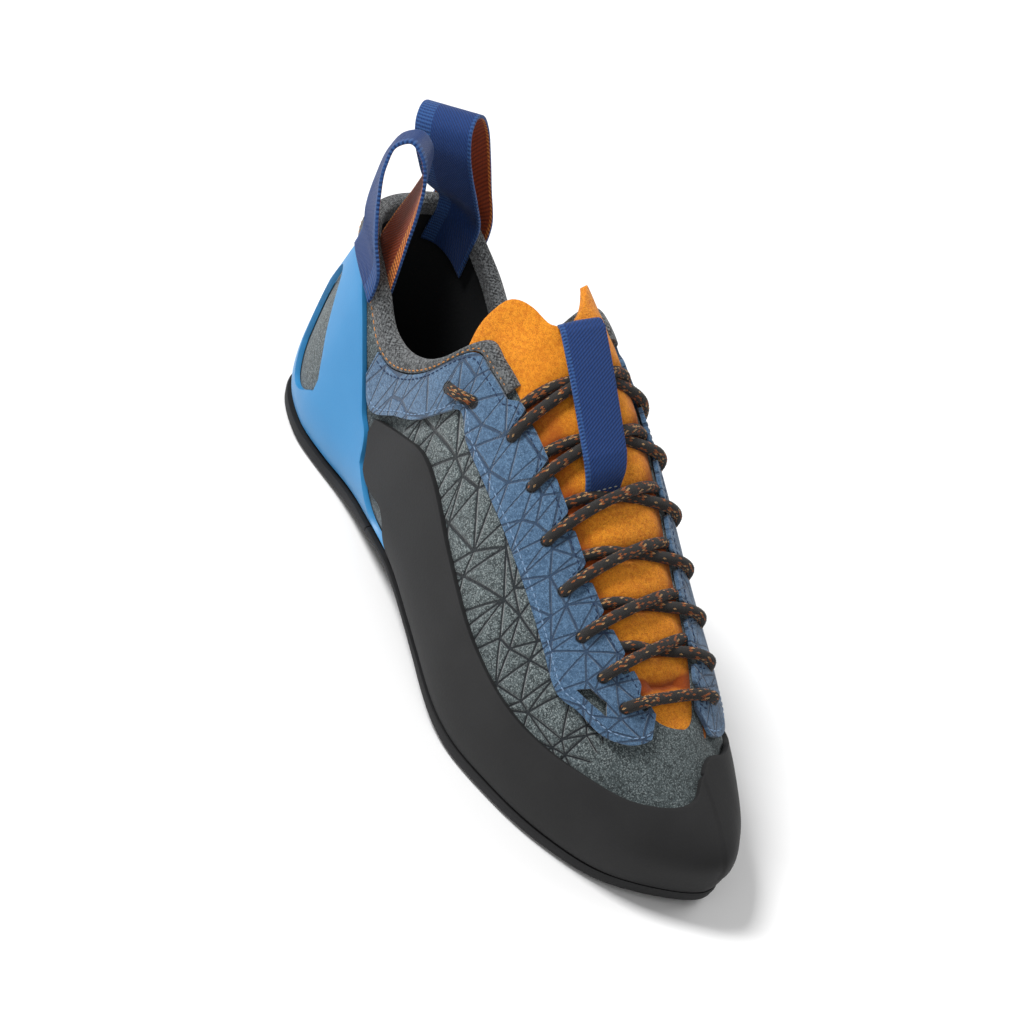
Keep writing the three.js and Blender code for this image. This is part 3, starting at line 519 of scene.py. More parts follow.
def thicken(piece, mm, edge=0.0, inner=0, segments=2):
    inwards = {"offset": -1, "use_even_offset": True, "use_rim": True, "material_offset": inner}
    modify(piece, "SOLIDIFY", thickness=mm / 1000, **inwards)
    if edge:
        bevel(piece, edge, segments)


# cuts through a piece with a block that reaches from off mm above the last to deep mm below that
def cutOut(piece, along, across, shape, turned=False):
    size = {"off": 5.0, "deep": 6.0}
    cutter, _, _ = gridPiece("cutter", along, across, lambda u, v: off(*shape(u, v), size["off"]))
    editAll(cutter, weld, *([bpy.ops.mesh.flip_normals] if turned else []))
    modify(cutter, "SOLIDIFY", thickness=size["deep"] / 1000, offset=-1)
    modify(piece, "BOOLEAN", object=cutter, operation="DIFFERENCE", solver="EXACT")
    bpy.data.objects.remove(cutter)


def finish(piece, paints, nodes=(), angle=40):
    for paint in paints if isinstance(paints, (list, tuple)) else [paints]:
        piece.data.materials.append(paint.material)
    bpy.ops.object.select_all(action="DESELECT")
    piece.select_set(True)
    bpy.context.view_layer.objects.active = piece
    bpy.ops.object.shade_smooth_by_angle(angle=math.radians(angle))
    piece.select_set(False)
    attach(piece, "root")
    if nodes:
        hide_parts(*nodes)
    return piece


def stepLengths(points): return np.linalg.norm(np.diff(points, axis=0), axis=1)
def edgeLength(points): return float(stepLengths(points).sum())
def doneAt(points): return np.concatenate([[0], np.cumsum(stepLengths(points))])
def between(at, done, values): return np.stack([np.interp(at, done, values[:, k]) for k in range(3)], -1)


def evenly(points, count):
    points = np.asarray(points, float)
    done = doneAt(points)
    return between(np.linspace(0, done[-1], count), done, points)


# smooth line through a few points
def throughPoints(points, count):
    points = np.asarray(points, float)
    done = doneAt(points)
    fine = np.linspace(0, done[-1], 400)
    line = np.stack([curve(np.stack([done, points[:, k]], -1), fine) for k in range(3)], -1)
    return evenly(line, count)


# a row of stitches along points on a surface, one small rounded stitch copied along it
def stitchRow(name, points, normals, paint, pitch, length, radius):
    points = np.asarray(points, float)
    count = max(2, int(edgeLength(points) / pitch))
    done = doneAt(points)
    at = (np.arange(count) + 0.5) / count * done[-1]
    centres = between(at, done, points)
    ahead = unit(between(at + 0.4, done, points) - between(at - 0.4, done, points))
    side = unit(np.cross(between(at, done, normals), ahead))
    up = np.cross(ahead, side)
    bpy.ops.mesh.primitive_uv_sphere_add(segments=8, ring_count=6, radius=1)
    seed = bpy.context.object
    ball = np.array([v.co for v in seed.data.vertices])
    faces = [list(p.vertices) for p in seed.data.polygons]
    bpy.data.objects.remove(seed)
    # the ball's own z runs along the stitch
    ball = ball * [radius, radius * 0.75, length / 2]
    every = centres[:, None]
    for k, axis in enumerate((side, up, ahead)):
        every = every + axis[:, None] * ball[None, :, k:k + 1]
    mesh = bpy.data.meshes.new(name)
    indices = [[k + n * len(ball) for k in face] for n in range(count) for face in faces]
    mesh.from_pydata(metres(every.reshape(-1, 3)).tolist(), [], indices)
    piece = bpy.data.objects.new(name, mesh)
    bpy.context.collection.objects.link(piece)
    editAll(piece, outward)
    return finish(piece, paint, angle=60)


# irregular net of triangles over a patch, as the distance of each point from its nearest line
def netOfLines(s, t, spacing, seed):
    rng = np.random.default_rng(seed)
    low, high = np.array([s.min(), t.min()]) - spacing, np.array([s.max(), t.max()]) + spacing
    nodes = []
    for i in range(int((high[0] - low[0]) / spacing) + 1):
        for j in range(int((high[1] - low[1]) / (spacing * 0.9)) + 1):
            shift = rng.uniform(-0.48, 0.48, 2) + [0, 0.5 * (i % 2)]
            nodes.append((low[0] + (i + shift[0]) * spacing, low[1] + (j + shift[1]) * spacing * 0.9))
    found = geometry.delaunay_2d_cdt([Vector(p) for p in nodes], [], [], 0, 1e-4)
    ends = np.array([[found[0][a].to_tuple(), found[0][b].to_tuple()] for a, b in found[1]])
    best = np.full(len(s), 99.0)
    at = np.stack([s, t], -1)
    for a, b in ends:
        line = b - a
        share = np.clip(((at - a) @ line) / (line @ line), 0, 1)
        best = np.minimum(best, np.hypot(*(at - a - share[:, None] * line).T))
    return best


# soft troughs and ridges of the upper: place, climb, half length in ribs, half width in degrees, mm
creases = [
    [3.15, 12.0, 0.5, 5.0, -0.5], [3.5, 22.0, 0.35, 4.0, -0.45], [2.6, 19.0, 0.3, 4.0, 0.4],
    [7.3, 44.0, 0.5, 5.0, -0.4], [8.3, 56.0, 0.7, 5.0, -0.45], [9.4, 66.0, 0.8, 5.0, 0.4],
    [11.6, 66.0, 0.6, 5.0, -0.45], [12.6, 50.0, 0.4, 6.0, -0.4], [15.6, 16.0, 0.5, 5.0, -0.55],
    [16.2, 8.0, 0.4, 5.0, -0.4], [17.0, 18.0, 0.5, 4.0, 0.4], [0.0, 20.0, 0.7, 5.0, -0.35],
]


def creaseAt(place, climb):
    total = np.zeros_like(place)
    for at, level, reach, width, mm in creases:
        gap = np.abs(place - at)
        gap = np.minimum(gap, ribCount - gap)
        total += mm * np.exp(-((gap / reach) ** 2) - ((climb - level) / width) ** 2)
    return total


def makeUpper():
    # shares of the rows: turned-in margin, lower part up to the widest line, and the rest
    size = {"columns": 228, "rows": 56, "margin": 0.08, "lower": 0.26, "widest": 0.34, "rest": 0.66}

    def shape(u, v):
        place = u * ribCount
        turnedIn = -90 - shoe["margin"] * (1 - v / size["margin"])
        lower = -90 + 90 * (v - size["margin"]) / size["lower"]
        rest = topAt(place) * (v - size["widest"]) / size["rest"]
        climb = np.where(v < size["margin"], turnedIn, np.where(v < size["widest"], lower, rest))
        return off(place, climb, creaseAt(place, climb) * (climb > -60))

    piece, _, _ = gridPiece("upper_shell", size["columns"], size["rows"], shape)
    editAll(piece, weld)
    piece.data.materials.append(suedePaint.material)
    piece.data.materials.append(liningPaint.material)
    thicken(piece, shoe["wall"], 0.5, inner=1)
    finish(piece, [], ["upper"], 50)


# tables of the overlays: place, then climbs
heelRandTop = [
    [0.0, 8.0], [0.7, 9.0], [1.05, 12.0], [1.3, 19.0], [1.5, 30.0], [2.0, 25.2], [2.3, 20.4],
    [2.55, 15.2], [2.87, 8.0], [3.18, 1.5], [3.45, -20.0], [3.8, -48.0], [4.1, -57.0],
]
heelWindow = [
    [1.06, 6.0, 9.0], [1.2, 0.0, 15.0], [1.36, -16.0, 19.5], [1.5, -27.0, 19.0], [1.66, -29.0, 15.0],
    [1.85, -21.0, 9.5], [2.0, -9.0, 6.0], [2.12, 0.0, 2.5],
]
toeRand = [
    [3.12, 6.6, 9.9], [3.25, 3.0, 11.3], [3.46, -7.0, 13.8], [3.7, -8.0, 16.7], [3.9, -7.0, 19.3],
    [4.0, -14.0, 20.3], [4.18, -50.0, 21.2], [4.3, -58.0, 21.5], [5.0, -55.0, 21.4], [5.5, -58.0, 21.8],
    [6.0, -62.0, 22.9], [7.0, -62.0, 23.1], [7.5, -62.0, 26.3], [8.0, -62.0, 31.4], [8.5, -62.0, 36.4],
    [9.0, -62.0, 41.7], [9.5, -62.0, 47.8], [9.85, -62.0, 54.1], [10.15, -59.5, 61.2],
    [10.45, -59.5, 64.6], [11.0, -59.5, 64.0], [11.6, -59.5, 53.4], [12.05, -62.0, 43.5],
    [12.4, -62.0, 30.0], [12.8, -62.0, 18.0], [13.4, -62.0, 14.0], [14.3, -60.0, 12.0],
    [14.75, -56.0, 11.0], [14.95, -40.0, 10.5], [15.2, -12.0, 9.5], [15.5, -7.0, 8.0], [15.8, 4.5, 7.0],
]
facingLow = [
    [2.69, 13.8], [2.87, 10.3], [3.4, 16.2], [3.71, 22.6], [3.9, 29.4], [4.06, 35.8], [4.37, 36.1],
    [4.87, 40.0], [5.37, 43.8], [5.96, 46.9], [6.5, 46.2], [6.86, 43.8], [7.0, 43.3], [7.4, 47.6],
    [7.9, 51.3], [8.4, 59.2], [8.9, 69.1],
]
facingLowInner = [
    [11.45, 66.0], [11.9, 54.0], [12.3, 43.0], [12.7, 37.0], [13.1, 35.5], [13.5, 38.5], [13.9, 37.5],
    [14.35, 33.0], [14.8, 28.0], [15.1, 25.0], [15.4, 18.0], [15.8, 13.0], [16.22, 14.0],
]
# share of length, distance from the ridge by ball width
eyelets = [
    [0.474, 0.254], [0.539, 0.25], [0.602, 0.256], [0.662, 0.252], [0.718, 0.246], [0.769, 0.226],
    [0.808, 0.19],
]
# the same in mm
lacing = [(share * shoe["length"], width * shoe["ballWidth"]) for share, width in eyelets]
# place and climb of the two holes at the collar, and of the corners of the facing's cut-out
collarHoles = [[3.81, 35.0], [4.15, 41.3]]
facingSlot = np.array([[7.17, 51.5], [7.8, 58.0], [7.66, 61.0], [7.3, 57.0]])
bindingEnds = (-4.0, 4 + 1 / 3)


# the binding narrows towards its ends
def bindingWidthAt(place):
    fromHeel = np.abs(np.where(place > ribCount / 2, place - ribCount, place))
    return shoe["bindingWidth"] * (1 - 0.5 * smooth(2.7, 4.2, fromHeel))


def underBinding(place): return further(place, topAt(place), -bindingWidthAt(place) - 2 * shoe["gap"])


# a layer on the upper between two edges; outer is how far its outside stands off the last
def overlay(name, start, end, low, high, size, outer, extra=None):
    def shape(u, v):
        place = start + (end - start) * u
        climb = low(place) + (high(place) - low(place)) * v
        return off(place, climb, outer + (extra(place, climb) if extra else 0))

    piece, u, v = gridPiece(name, size["columns"], size["rows"], shape)
    place = start + (end - start) * u
    return piece, place, low(place) + (high(place) - low(place)) * v


def makeHeelRand():
    size = {"columns": 260, "rows": 40, "low": -62.0, "under": 0.35, "edge": 0.7}
    reach = heelRandTop[-1][0]
    first, last = heelWindow[0][0], heelWindow[-1][0]

    def low(place): return np.full_like(place, size["low"])
    def high(place): return np.minimum(curve(heelRandTop, np.abs(place)), underBinding(place))

    outer = size["under"] + shoe["rand"]
    piece, _, _ = overlay("heel_rand_rubber", -reach, reach, low, high, size, outer)
    editAll(piece, weld)
    thicken(piece, shoe["rand"])
    for side in (1, -1):
        def window(u, v, side=side):
            at = first + (last - first) * u
            lower, upper = curve(heelWindow, at), curve(heelWindow, at, 1)
            return at * side, lower + (upper - lower) * v

        cutOut(piece, 40, 12, window, side < 0)
    bevel(piece, size["edge"], 3, 55)
    finish(piece, azurePaint, ["heel_rand"], 40)


def makeToeRand():
    size = {"columns": 420, "rows": 48, "under": 0.5, "edge": 0.8, "step": 0.45}

    def low(place): return curve(toeRand, place)
    def high(place): return curve(toeRand, place, 1)

    # raised patch over the big toe, with a clear step at the toe's tip and a soft one behind
    def patch(place, climb):
        line = 10.15 + smooth(20, 60, climb) * 0.12
        ahead, behind = smooth(line - 0.05, line + 0.03, place), 1 - smooth(11.9, 12.3, place)
        return size["step"] * ahead * behind * smooth(-25, -5, climb)

    ends, outer = (toeRand[0][0], toeRand[-1][0]), size["under"] + shoe["rand"]
    piece, _, _ = overlay("toe_rand_rubber", *ends, low, high, size, outer, patch)
    editAll(piece, weld)
    thicken(piece, shoe["rand"], size["edge"], segments=3)
    finish(piece, blackPaint, ["toe_rand"], 40)


def soleTop(x): return seatHeight(x) - shoe["gap"]
def soleBottom(x): return soleTop(x) - shoe["sole"] * np.minimum(1, curve(soleTaper, x / shoe["length"]))


# a plate that follows the foot's outline: its ring runs over the top, round the edge and back below
def makePlate(name, node, paint, plate):
    across, bulge, edge = plate["rows"], plate["bulge"], plate["edge"]
    # steps round the edge, from the top face to the bottom face
    corner = 3
    whole = 2 * across + 2 * corner

    def shape(u, v):
        way = plate["start"] + (plate["end"] - plate["start"]) * u
        ring = v * whole
        upper = np.clip(ring / across, 0, 1)
        lower = np.clip((2 * across + corner - ring) / across, 0, 1)
        onTop = ring <= across
        nearSide = ring > 2 * across + corner
        turn = np.where(nearSide, (whole - ring) / corner, np.clip((ring - across) / corner, 0, 1))
        cut = np.where(turn < 0.5, 0, plate["bevel"] * smooth(0.5, 1, turn))
        growth = bulge * np.sin(turn * math.pi) - cut
        below = np.where(ring < across + corner, 1.0, lower)
        s = np.where(onTop, upper, np.where(nearSide, 0.0, below))
        a, b = edge(way * toeRib, growth), edge(ribCount - way * (ribCount - toeRib), growth)
        point = a + (b - a) * s[:, None]
        high, low = plate["top"](point[:, 0]), plate["bottom"](point[:, 0])
        point[:, 2] = high + (low - high) * np.where(onTop, 0, smooth(0, 1, turn))
        return point

    piece, _, _ = gridPiece(name, plate["columns"], whole, shape)
    editAll(piece, weld, closeEnds, selectAll, outward)
    return finish(piece, paint, [node], 35)


def soleEdge(place, growth): return off(place, -50, shoe["gap"] + shoe["rand"] + growth)


def makeSoles():
    halfGap = shoe["gap"] / shoe["length"] / 2
    faces = {"edge": soleEdge, "top": soleTop, "bottom": soleBottom}
    sole = {"rows": 24, "bulge": 0.3, "bevel": 1.8, **faces}
    front = {"start": shoe["split"] + halfGap, "end": 1, "columns": 130, **sole}
    makePlate("outsole_rubber", "outsole", solePaint, front)
    back = {"start": 0, "end": shoe["split"] - halfGap, "columns": 90, **sole}
    makePlate("heel_sole_rubber", "heel_sole", solePaint, back)

    def insoleEdge(place, growth): return off(place, -62, growth - shoe["insoleInset"])
    def insoleBottom(x): return seatHeight(x) + shoe["wall"] + 2.5 * shoe["gap"]
    def insoleTop(x): return insoleBottom(x) + shoe["insole"]

    inside = {"edge": insoleEdge, "top": insoleTop, "bottom": insoleBottom, "bulge": 0.2, "bevel": 0.8}
    footbed = {"start": 0, "end": 1, "columns": 120, "rows": 20, **inside}
    makePlate("footbed", "insole", liningPaint, footbed)


# half width of the tongue by ball width, along it
tongueWidth = [[0.0, 0.255], [0.15, 0.275], [0.3, 0.285], [0.6, 0.29], [0.85, 0.255], [1.0, 0.2]]
# its lobed top edge, across it, as a share of length
tongueTop = [
    [-1.0, 0.335], [-0.91, 0.327], [-0.78, 0.326], [-0.65, 0.332], [-0.5, 0.358], [-0.4, 0.384],
    [-0.3, 0.394], [0.0, 0.39], [0.2, 0.372], [0.36, 0.352], [0.47, 0.342], [0.54, 0.356], [0.62, 0.385],
    [0.75, 0.4], [1.0, 0.41],
]


def makeTongue():
    size = {"columns": 180, "rows": 80, "fold": 0.6, "puff": 2.4, "curl": 1.2, "bow": 2.5, "dent": 3.0}
    laceRows = [x - 3 for x, _ in lacing]
    paintedShade = []

    def shape(u, v):
        side = v * 2 - 1
        away = np.abs(side)
        top = curve(tongueTop, side)
        x = (top + (shoe["tongueEnd"] - top) * u) * shoe["length"]
        y = ridgeY(x) + side * curve(tongueWidth, u) * shoe["ballWidth"]
        place, climb = over(x, y)
        press = sum(np.exp(-(((x - row + size["bow"] * away) / size["dent"]) ** 2)) for row in laceRows)
        waves = np.sin(x * 0.42 + side * 2.2) * 0.5 + np.sin(x * 0.9 - side * 3.0 + 1.0) * 0.3
        bare = smooth(2, 8, climb - topAt(place)) * smooth(0.36, 0.42, x / shoe["length"])
        swell = size["puff"] * (0.22 - press) + size["fold"] * waves * 0.6
        below = smooth(0.42, 0.47, x / shoe["length"])
        # painted shade, stored as the attribute "fold": strong under the laces and towards the sides,
        # where the tongue lies in shade below the laces and the facings
        paintedShade.append(below * np.maximum(press * 0.75, smooth(0.28, 0.6, away) * (0.4 + 0.6 * press)))
        curl = size["curl"] * smooth(0.06, 0.0, u) * smooth(0.3, 0.9, -side)
        return off(place, climb, -shoe["wall"] - shoe["tongueGap"] + swell * bare + curl)

    piece, _, _ = gridPiece("tongue_suede", size["columns"], size["rows"], shape)
    attribute(piece, "fold", paintedShade[0])
    editAll(piece, bpy.ops.mesh.flip_normals)
    thicken(piece, shoe["tongue"], 0.5)
    finish(piece, orangePaint, ["tongue"], 50)


# where each lace crosses the throat's edge on one side, as a place
def notchPlaces(side):
    rows = [x - 1.2 for x, _ in lacing]
    return [float(over(x, ridgeY(x) + side * throatEdge(x, side))[0]) for x in rows]


def makeFacing(side):
    lateral = side < 0
    name, fine = ("lateral", 1.0) if lateral else ("medial", 0.6)
    size = {
        "columns": int(540 * fine), "rows": int(64 * fine), "under": 0.75, "edge": 0.45, "inset": 2.1,
        "notch": 4.2, "notchReach": 2.4, "lineSpacing": 6.6, "lineSeed": 21,
    }
    table = facingLow if lateral else facingLowInner
    start, end = table[0][0], table[-1][0]
    # where the high edge goes over from the throat's edge to the binding
    change = (bindingEnds[1] + 0.16, bindingEnds[1] + 0.02) if lateral else (14.84, 14.98)
    notches = notchPlaces(side)

    def low(place): return curve(table, place)

    def high(place):
        edge = further(place, topAt(place), 0.4)
        bite = np.zeros_like(place)
        for at in notches:
            away = (place - at) * edgePerRib(at, 0.05) / size["notchReach"]
            bite += size["notch"] * np.exp(-(away ** 4))
        edge = further(place, edge, -np.minimum(bite, size["notch"]))
        towardsHeel = smooth(*change, place)
        return edge * (1 - towardsHeel) + underBinding(place) * towardsHeel

    def slot(u, v):
        lower = facingSlot[0] + (facingSlot[1] - facingSlot[0]) * u[:, None]
        upper = facingSlot[3] + (facingSlot[2] - facingSlot[3]) * u[:, None]
        at = lower + (upper - lower) * v[:, None]
        return at[:, 0], at[:, 1]

    outer = size["under"] + shoe["facing"]
    piece, place, climb = overlay(f"facing_{name}", start, end, low, high, size, outer)
    points = skin(place, climb)
    holes = [overInstep(x, side * across, 1.0) for x, across in lacing]
    holes = np.array(holes + [skin(*at) for at in collarHoles if lateral])
    # distance to the nearest lace hole, the mask for the painted shade of the hole openings
    attribute(piece, "hole", np.min(np.linalg.norm(points[:, None] - holes[None], axis=2), axis=1))
    net = netOfLines(points[:, 0], climb * 0.6, size["lineSpacing"], size["lineSeed"] + side)
    attribute(piece, "line", net)
    editAll(piece, weld)
    thicken(piece, shoe["facing"])
    if lateral:
        cutOut(piece, 16, 8, slot)
    bevel(piece, size["edge"], 3, 55)
    finish(piece, facingPaint, [f"eyestay_{name}"], 50)

    # dashed stitches along both edges
    at = np.linspace(start + 0.03, end - 0.05, 500)
    for label, edge, inset, paint in (
        ("low", low(at), size["inset"], blueThread),
        ("high", np.minimum(high(at), 89), -size["inset"], navyThread),
    ):
        level = further(at, edge, inset)
        row, normals = off(at, level, outer + 0.05), normalAt(at, level)
        stitchRow(f"facing_{name}_stitches_{label}", row, normals, paint, 2.1, 1.5, 0.24)


def makeQuilt(side):
    lateral = side < 0
    name, fine = ("lateral", 1.0) if lateral else ("medial", 0.6)
    size = {
        "columns": int(340 * fine), "rows": int(100 * fine), "rise": 0.5, "depth": 0.45, "tuck": 3.0,
        "sink": 1.3, "lineSpacing": 8.8, "lineSeed": 5, "thick": 0.7,
    }
    start, end = (3.55, 8.45) if lateral else (11.85, 15.4)
    table = facingLow if lateral else facingLowInner
    lines = []

    def low(place): return further(place, np.maximum(curve(toeRand, place, 1), 0), -size["tuck"])
    def high(place): return np.maximum(further(place, curve(table, place), size["tuck"]), low(place) + 1)

    def shape(u, v):
        at = start + (end - start) * u
        climb = low(at) + (high(at) - low(at)) * v
        points = skin(at, climb)
        across = climb * 0.62 + points[:, 1] * 0.2
        away = netOfLines(points[:, 0], across, size["lineSpacing"], size["lineSeed"] + side)
        # at the toe end the lines fade and the panel sinks under the facing
        toToe = end - at if lateral else at - start
        away = away + 3 * smooth(0.5, 0.2, toToe)
        lines.append(away)
        rise = size["rise"] - size["sink"] * smooth(0.3, 0.0, toToe)
        return off(at, climb, creaseAt(at, climb) + rise + size["depth"] * (smooth(0.05, 1.1, away) - 1))

    piece, _, _ = gridPiece(f"quilted_panel_{name}", size["columns"], size["rows"], shape)
    attribute(piece, "line", lines[0])
    editAll(piece, weld)
    thicken(piece, size["thick"])
    finish(piece, quiltPaint, [], 80)


def makeBinding():
    # shares of the profile: up the outside, round over the top from there, and down the inside
    size = {
        "columns": 300, "rows": 32, "map": (270, 18), "inside": 4.0, "swell": 0.35, "stitchInset": 1.1,
        "up": 0.4, "over": 0.28, "topEnd": 0.68, "down": 0.32,
    }
    start, end = bindingEnds
    outer = 1.7 * shoe["gap"]
    thick = shoe["binding"]
    inner = -shoe["wall"] - 1.2 * shoe["gap"]
    middle = (outer + inner) / 2
    half = (outer - inner) / 2 + thick

    def shape(u, v):
        place = start + (end - start) * u
        turn = np.clip((v - size["up"]) / size["over"], 0, 1) * math.pi
        upwards = -bindingWidthAt(place) * (1 - v / size["up"])
        downwards = -size["inside"] * (v - size["topEnd"]) / size["down"]
        rise = np.where(v > size["topEnd"], downwards, half * 0.8 * np.sin(turn))
        rise = np.where(v < size["up"], upwards, rise)
        swell = size["swell"] * np.sin(np.clip(v / size["up"], 0, 1) * math.pi)
        return off(place, further(place, topAt(place), rise), middle + half * np.cos(turn) + swell)

    piece, _, _ = gridPiece("collar_binding_knit", size["columns"], size["rows"], shape, size["map"])
    thicken(piece, thick, 0.4)
    finish(piece, bindingPaint, ["collar_binding"], 50)

    at = np.linspace(start + 0.05, end - 0.05, 700)
    level = further(at, topAt(at), size["stitchInset"] - bindingWidthAt(at))
    row, normals = off(at, level, outer + thick + 0.15), normalAt(at, level)
    stitchRow("binding_stitches", row, normals, orangeThread, 2.2, 1.5, 0.32)


# a closed strip of webbing from rows of points across it
def strip(name, rows, paints, node, flip=False):
    along, across = rows.shape[0] - 1, rows.shape[1] - 1
    length, width = edgeLength(rows[:, across // 2]), edgeLength(rows[0])

    def shape(u, v):
        i, j = np.rint(u * along).astype(int), np.rint(v * across).astype(int)
        return rows[i, j]

    piece, _, _ = gridPiece(name, along, across, shape, (length, width))
    if flip:
        editAll(piece, bpy.ops.mesh.flip_normals)
    for paint in paints:
        piece.data.materials.append(paint.material)
    bothWays = {"offset": 0, "use_rim": True, "material_offset": len(paints) - 1}
    modify(piece, "SOLIDIFY", thickness=shoe["webbing"] / 1000, **bothWays)
    bevel(piece, 0.3)
    return finish(piece, [], [node], 50)


# way of a loop from its outer foot over the top to its inner foot: share of its height, spread
loopRoute = [
    [-0.08, 0.0], [0.0, 0.02], [0.12, 0.2], [0.3, 0.36], [0.55, 0.45], [0.78, 0.46], [0.93, 0.32],
    [1.0, 0.0], [0.93, -0.32], [0.78, -0.46], [0.55, -0.45], [0.3, -0.36], [0.12, -0.2], [0.0, -0.02],
]


# place in ribs; back, side and high in mm; turn and lean in degrees; tail and wide as shares
loops = {
    "lateral": {
        "place": 1.94, "back": -16.5, "side": 9.8, "turn": -40, "lean": -20, "tail": 0.3, "high": 37,
        "wide": 0.76,
    },
    "medial": {
        "place": 17.95, "back": -11, "side": -12.5, "turn": 0, "lean": 16, "tail": 0.42, "high": 33,
        "wide": 1.0,
    },
}


def turned(vector, degrees, axis):
    return np.array(Matrix.Rotation(math.radians(degrees), 3, axis) @ Vector(vector))


def loopRows(loop):
    across, along = 8, 150
    place, width = loop["place"], shoe["loopWidth"]
    half = shoe["webbing"] / 2
    outside = 0.35 + shoe["binding"] + 4.6 * shoe["gap"] + half
    inside = -shoe["wall"] - 3 * shoe["gap"] - half

    def rim(at, distance, rise): return off(at, further(at, topAt(at), rise), distance)

    reach = width / 2 / edgePerRib(place, 0.01)
    straight = (rim(place, 1, 0) - rim(place, 0, 0)) * [1, 1, 0]
    straight /= np.linalg.norm(straight)
    centre = rim(place, (outside + inside) / 2, 0)
    tail = [[-loop["tail"] / 2, 0], [-loop["tail"], 0]]
    lines = []
    for w in np.linspace(-1, 1, across + 1):
        line = []
        for i, (rise, spread) in enumerate(loopRoute + tail):
            share = min(max(rise, 0), 1)
            height = rise * loop["high"]
            outward = turned(straight, loop["turn"] * share, "Z")
            sideways = turned(np.cross(outward, [0, 0, -1]), -loop["lean"] * share, Vector(outward))
            shift = np.array([loop["back"] * share, loop["side"] * share, height])
            free = centre + outward * spread * loop["wide"] * width + sideways * w * width / 2 + shift
            face = inside if i > len(loopRoute) / 2 else outside
            foot = rim(place + w * reach, face, min(height, 0)) + [0, 0, max(height, 0)]
            held = 1 - smooth(0.04, 0.35, rise)
            line.append(free * (1 - held) + foot * held)
        lines.append(throughPoints(line, along))
    return np.stack(lines, 1)


def makeLoops():
    for name, loop in loops.items():
        rows = loopRows(loop)
        strip(f"pull_loop_webbing_{name}", rows, [webPaint, rustPaint], f"pull_loop_{name}", flip=True)


def makeTab():
    size = {"start": 0.394, "end": 0.588, "raise": 1.8, "skew": (-1.2, -5.0), "wide": 0.84, "flat": 0.65}
    # share of the way, share of its rise over the laces
    route = [
        [0.0, 0.3], [0.02, 0.75], [0.06, 0.95], [0.3, 1.0], [0.78, 1.0], [0.87, 0.75], [0.95, 0.2],
        [1.0, 0.0],
    ]
    across = np.array([-0.5, 0.0, 0.5]) * shoe["tabWidth"] * size["wide"]
    onTongue = shoe["lace"] / 2 + 2.4 * shoe["gap"] - shoe["wall"] - shoe["tongueGap"]
    low = shoe["webbing"] / 2 + 0.6 - shoe["wall"] - shoe["tongueGap"]
    high = onTongue + shoe["lace"] / 2 + 5 * shoe["gap"] + shoe["webbing"] / 2 + size["raise"]
    rows = []
    for way in np.linspace(0, 1, 100):
        x = (size["start"] + (size["end"] - size["start"]) * way) * shoe["length"]
        middle = size["skew"][0] + (size["skew"][1] - size["skew"][0]) * way
        distance = low + (high - low) * min(max(float(curve(route, way)), 0), 1)
        ends = overInstep(np.full(3, x), middle + across, distance)
        # the webbing stays nearly flat across
        ends[1] = ends[1] * (1 - size["flat"]) + (ends[0] + ends[2]) / 2 * size["flat"]
        rows.append(throughPoints(ends, 11))
    rows = np.array(rows)
    strip("tongue_tab_webbing", rows, [tabPaint], "tongue_tab")
    for k, way in enumerate((93, 96)):
        line = rows[way, 1:-1]
        normal = unit(np.cross(rows[way, 10] - rows[way, 0], rows[way] - rows[way - 2])[1:-1])
        normal *= np.sign(normal[:, 2:])
        row = line + normal * (shoe["webbing"] / 2 + 0.1)
        stitchRow(f"tab_stitches_{k + 1}", row, normal, paleThread, 1.7, 1.2, 0.22)


# braided cord round a line of points
def cordPiece(name, points, nodes):
    size = {"step": 0.38, "around": 32, "plait": 0.11, "strands": 8, "lay": 2.4, "end": 0.75}
    length = edgeLength(points)
    count = int(length / size["step"])
    line = evenly(points, count + 1)
    ahead = unit(np.gradient(line, axis=0))
    side = np.empty_like(line)
    side[0] = np.cross(ahead[0], [0, 0, 1.0])
    for i in range(1, len(line)):
        side[i] = side[i - 1] - ahead[i] * (side[i - 1] @ ahead[i])
    side = unit(side)
    up = np.cross(side, ahead)
    radius = shoe["lace"] / 2 - size["plait"]

    def shape(u, v):
        i = np.rint(u * count).astype(int)
        turn = v * 2 * math.pi
        s, strands = u * length / size["lay"], v * size["strands"]
        plait = np.sin((strands + s) * 2 * math.pi) * np.sin((strands - s) * 2 * math.pi)
        r = (radius + size["plait"] * plait) * np.where((i == 0) | (i == count), size["end"], 1)
        return line[i] + side[i] * (r * np.cos(turn))[:, None] + up[i] * (r * np.sin(turn))[:, None]

    piece, _, _ = gridPiece(name, count, size["around"], shape, (length, 1))
    editAll(piece, weld, closeEnds, selectAll, outward)
    return finish(piece, lacePaint, nodes, 60)


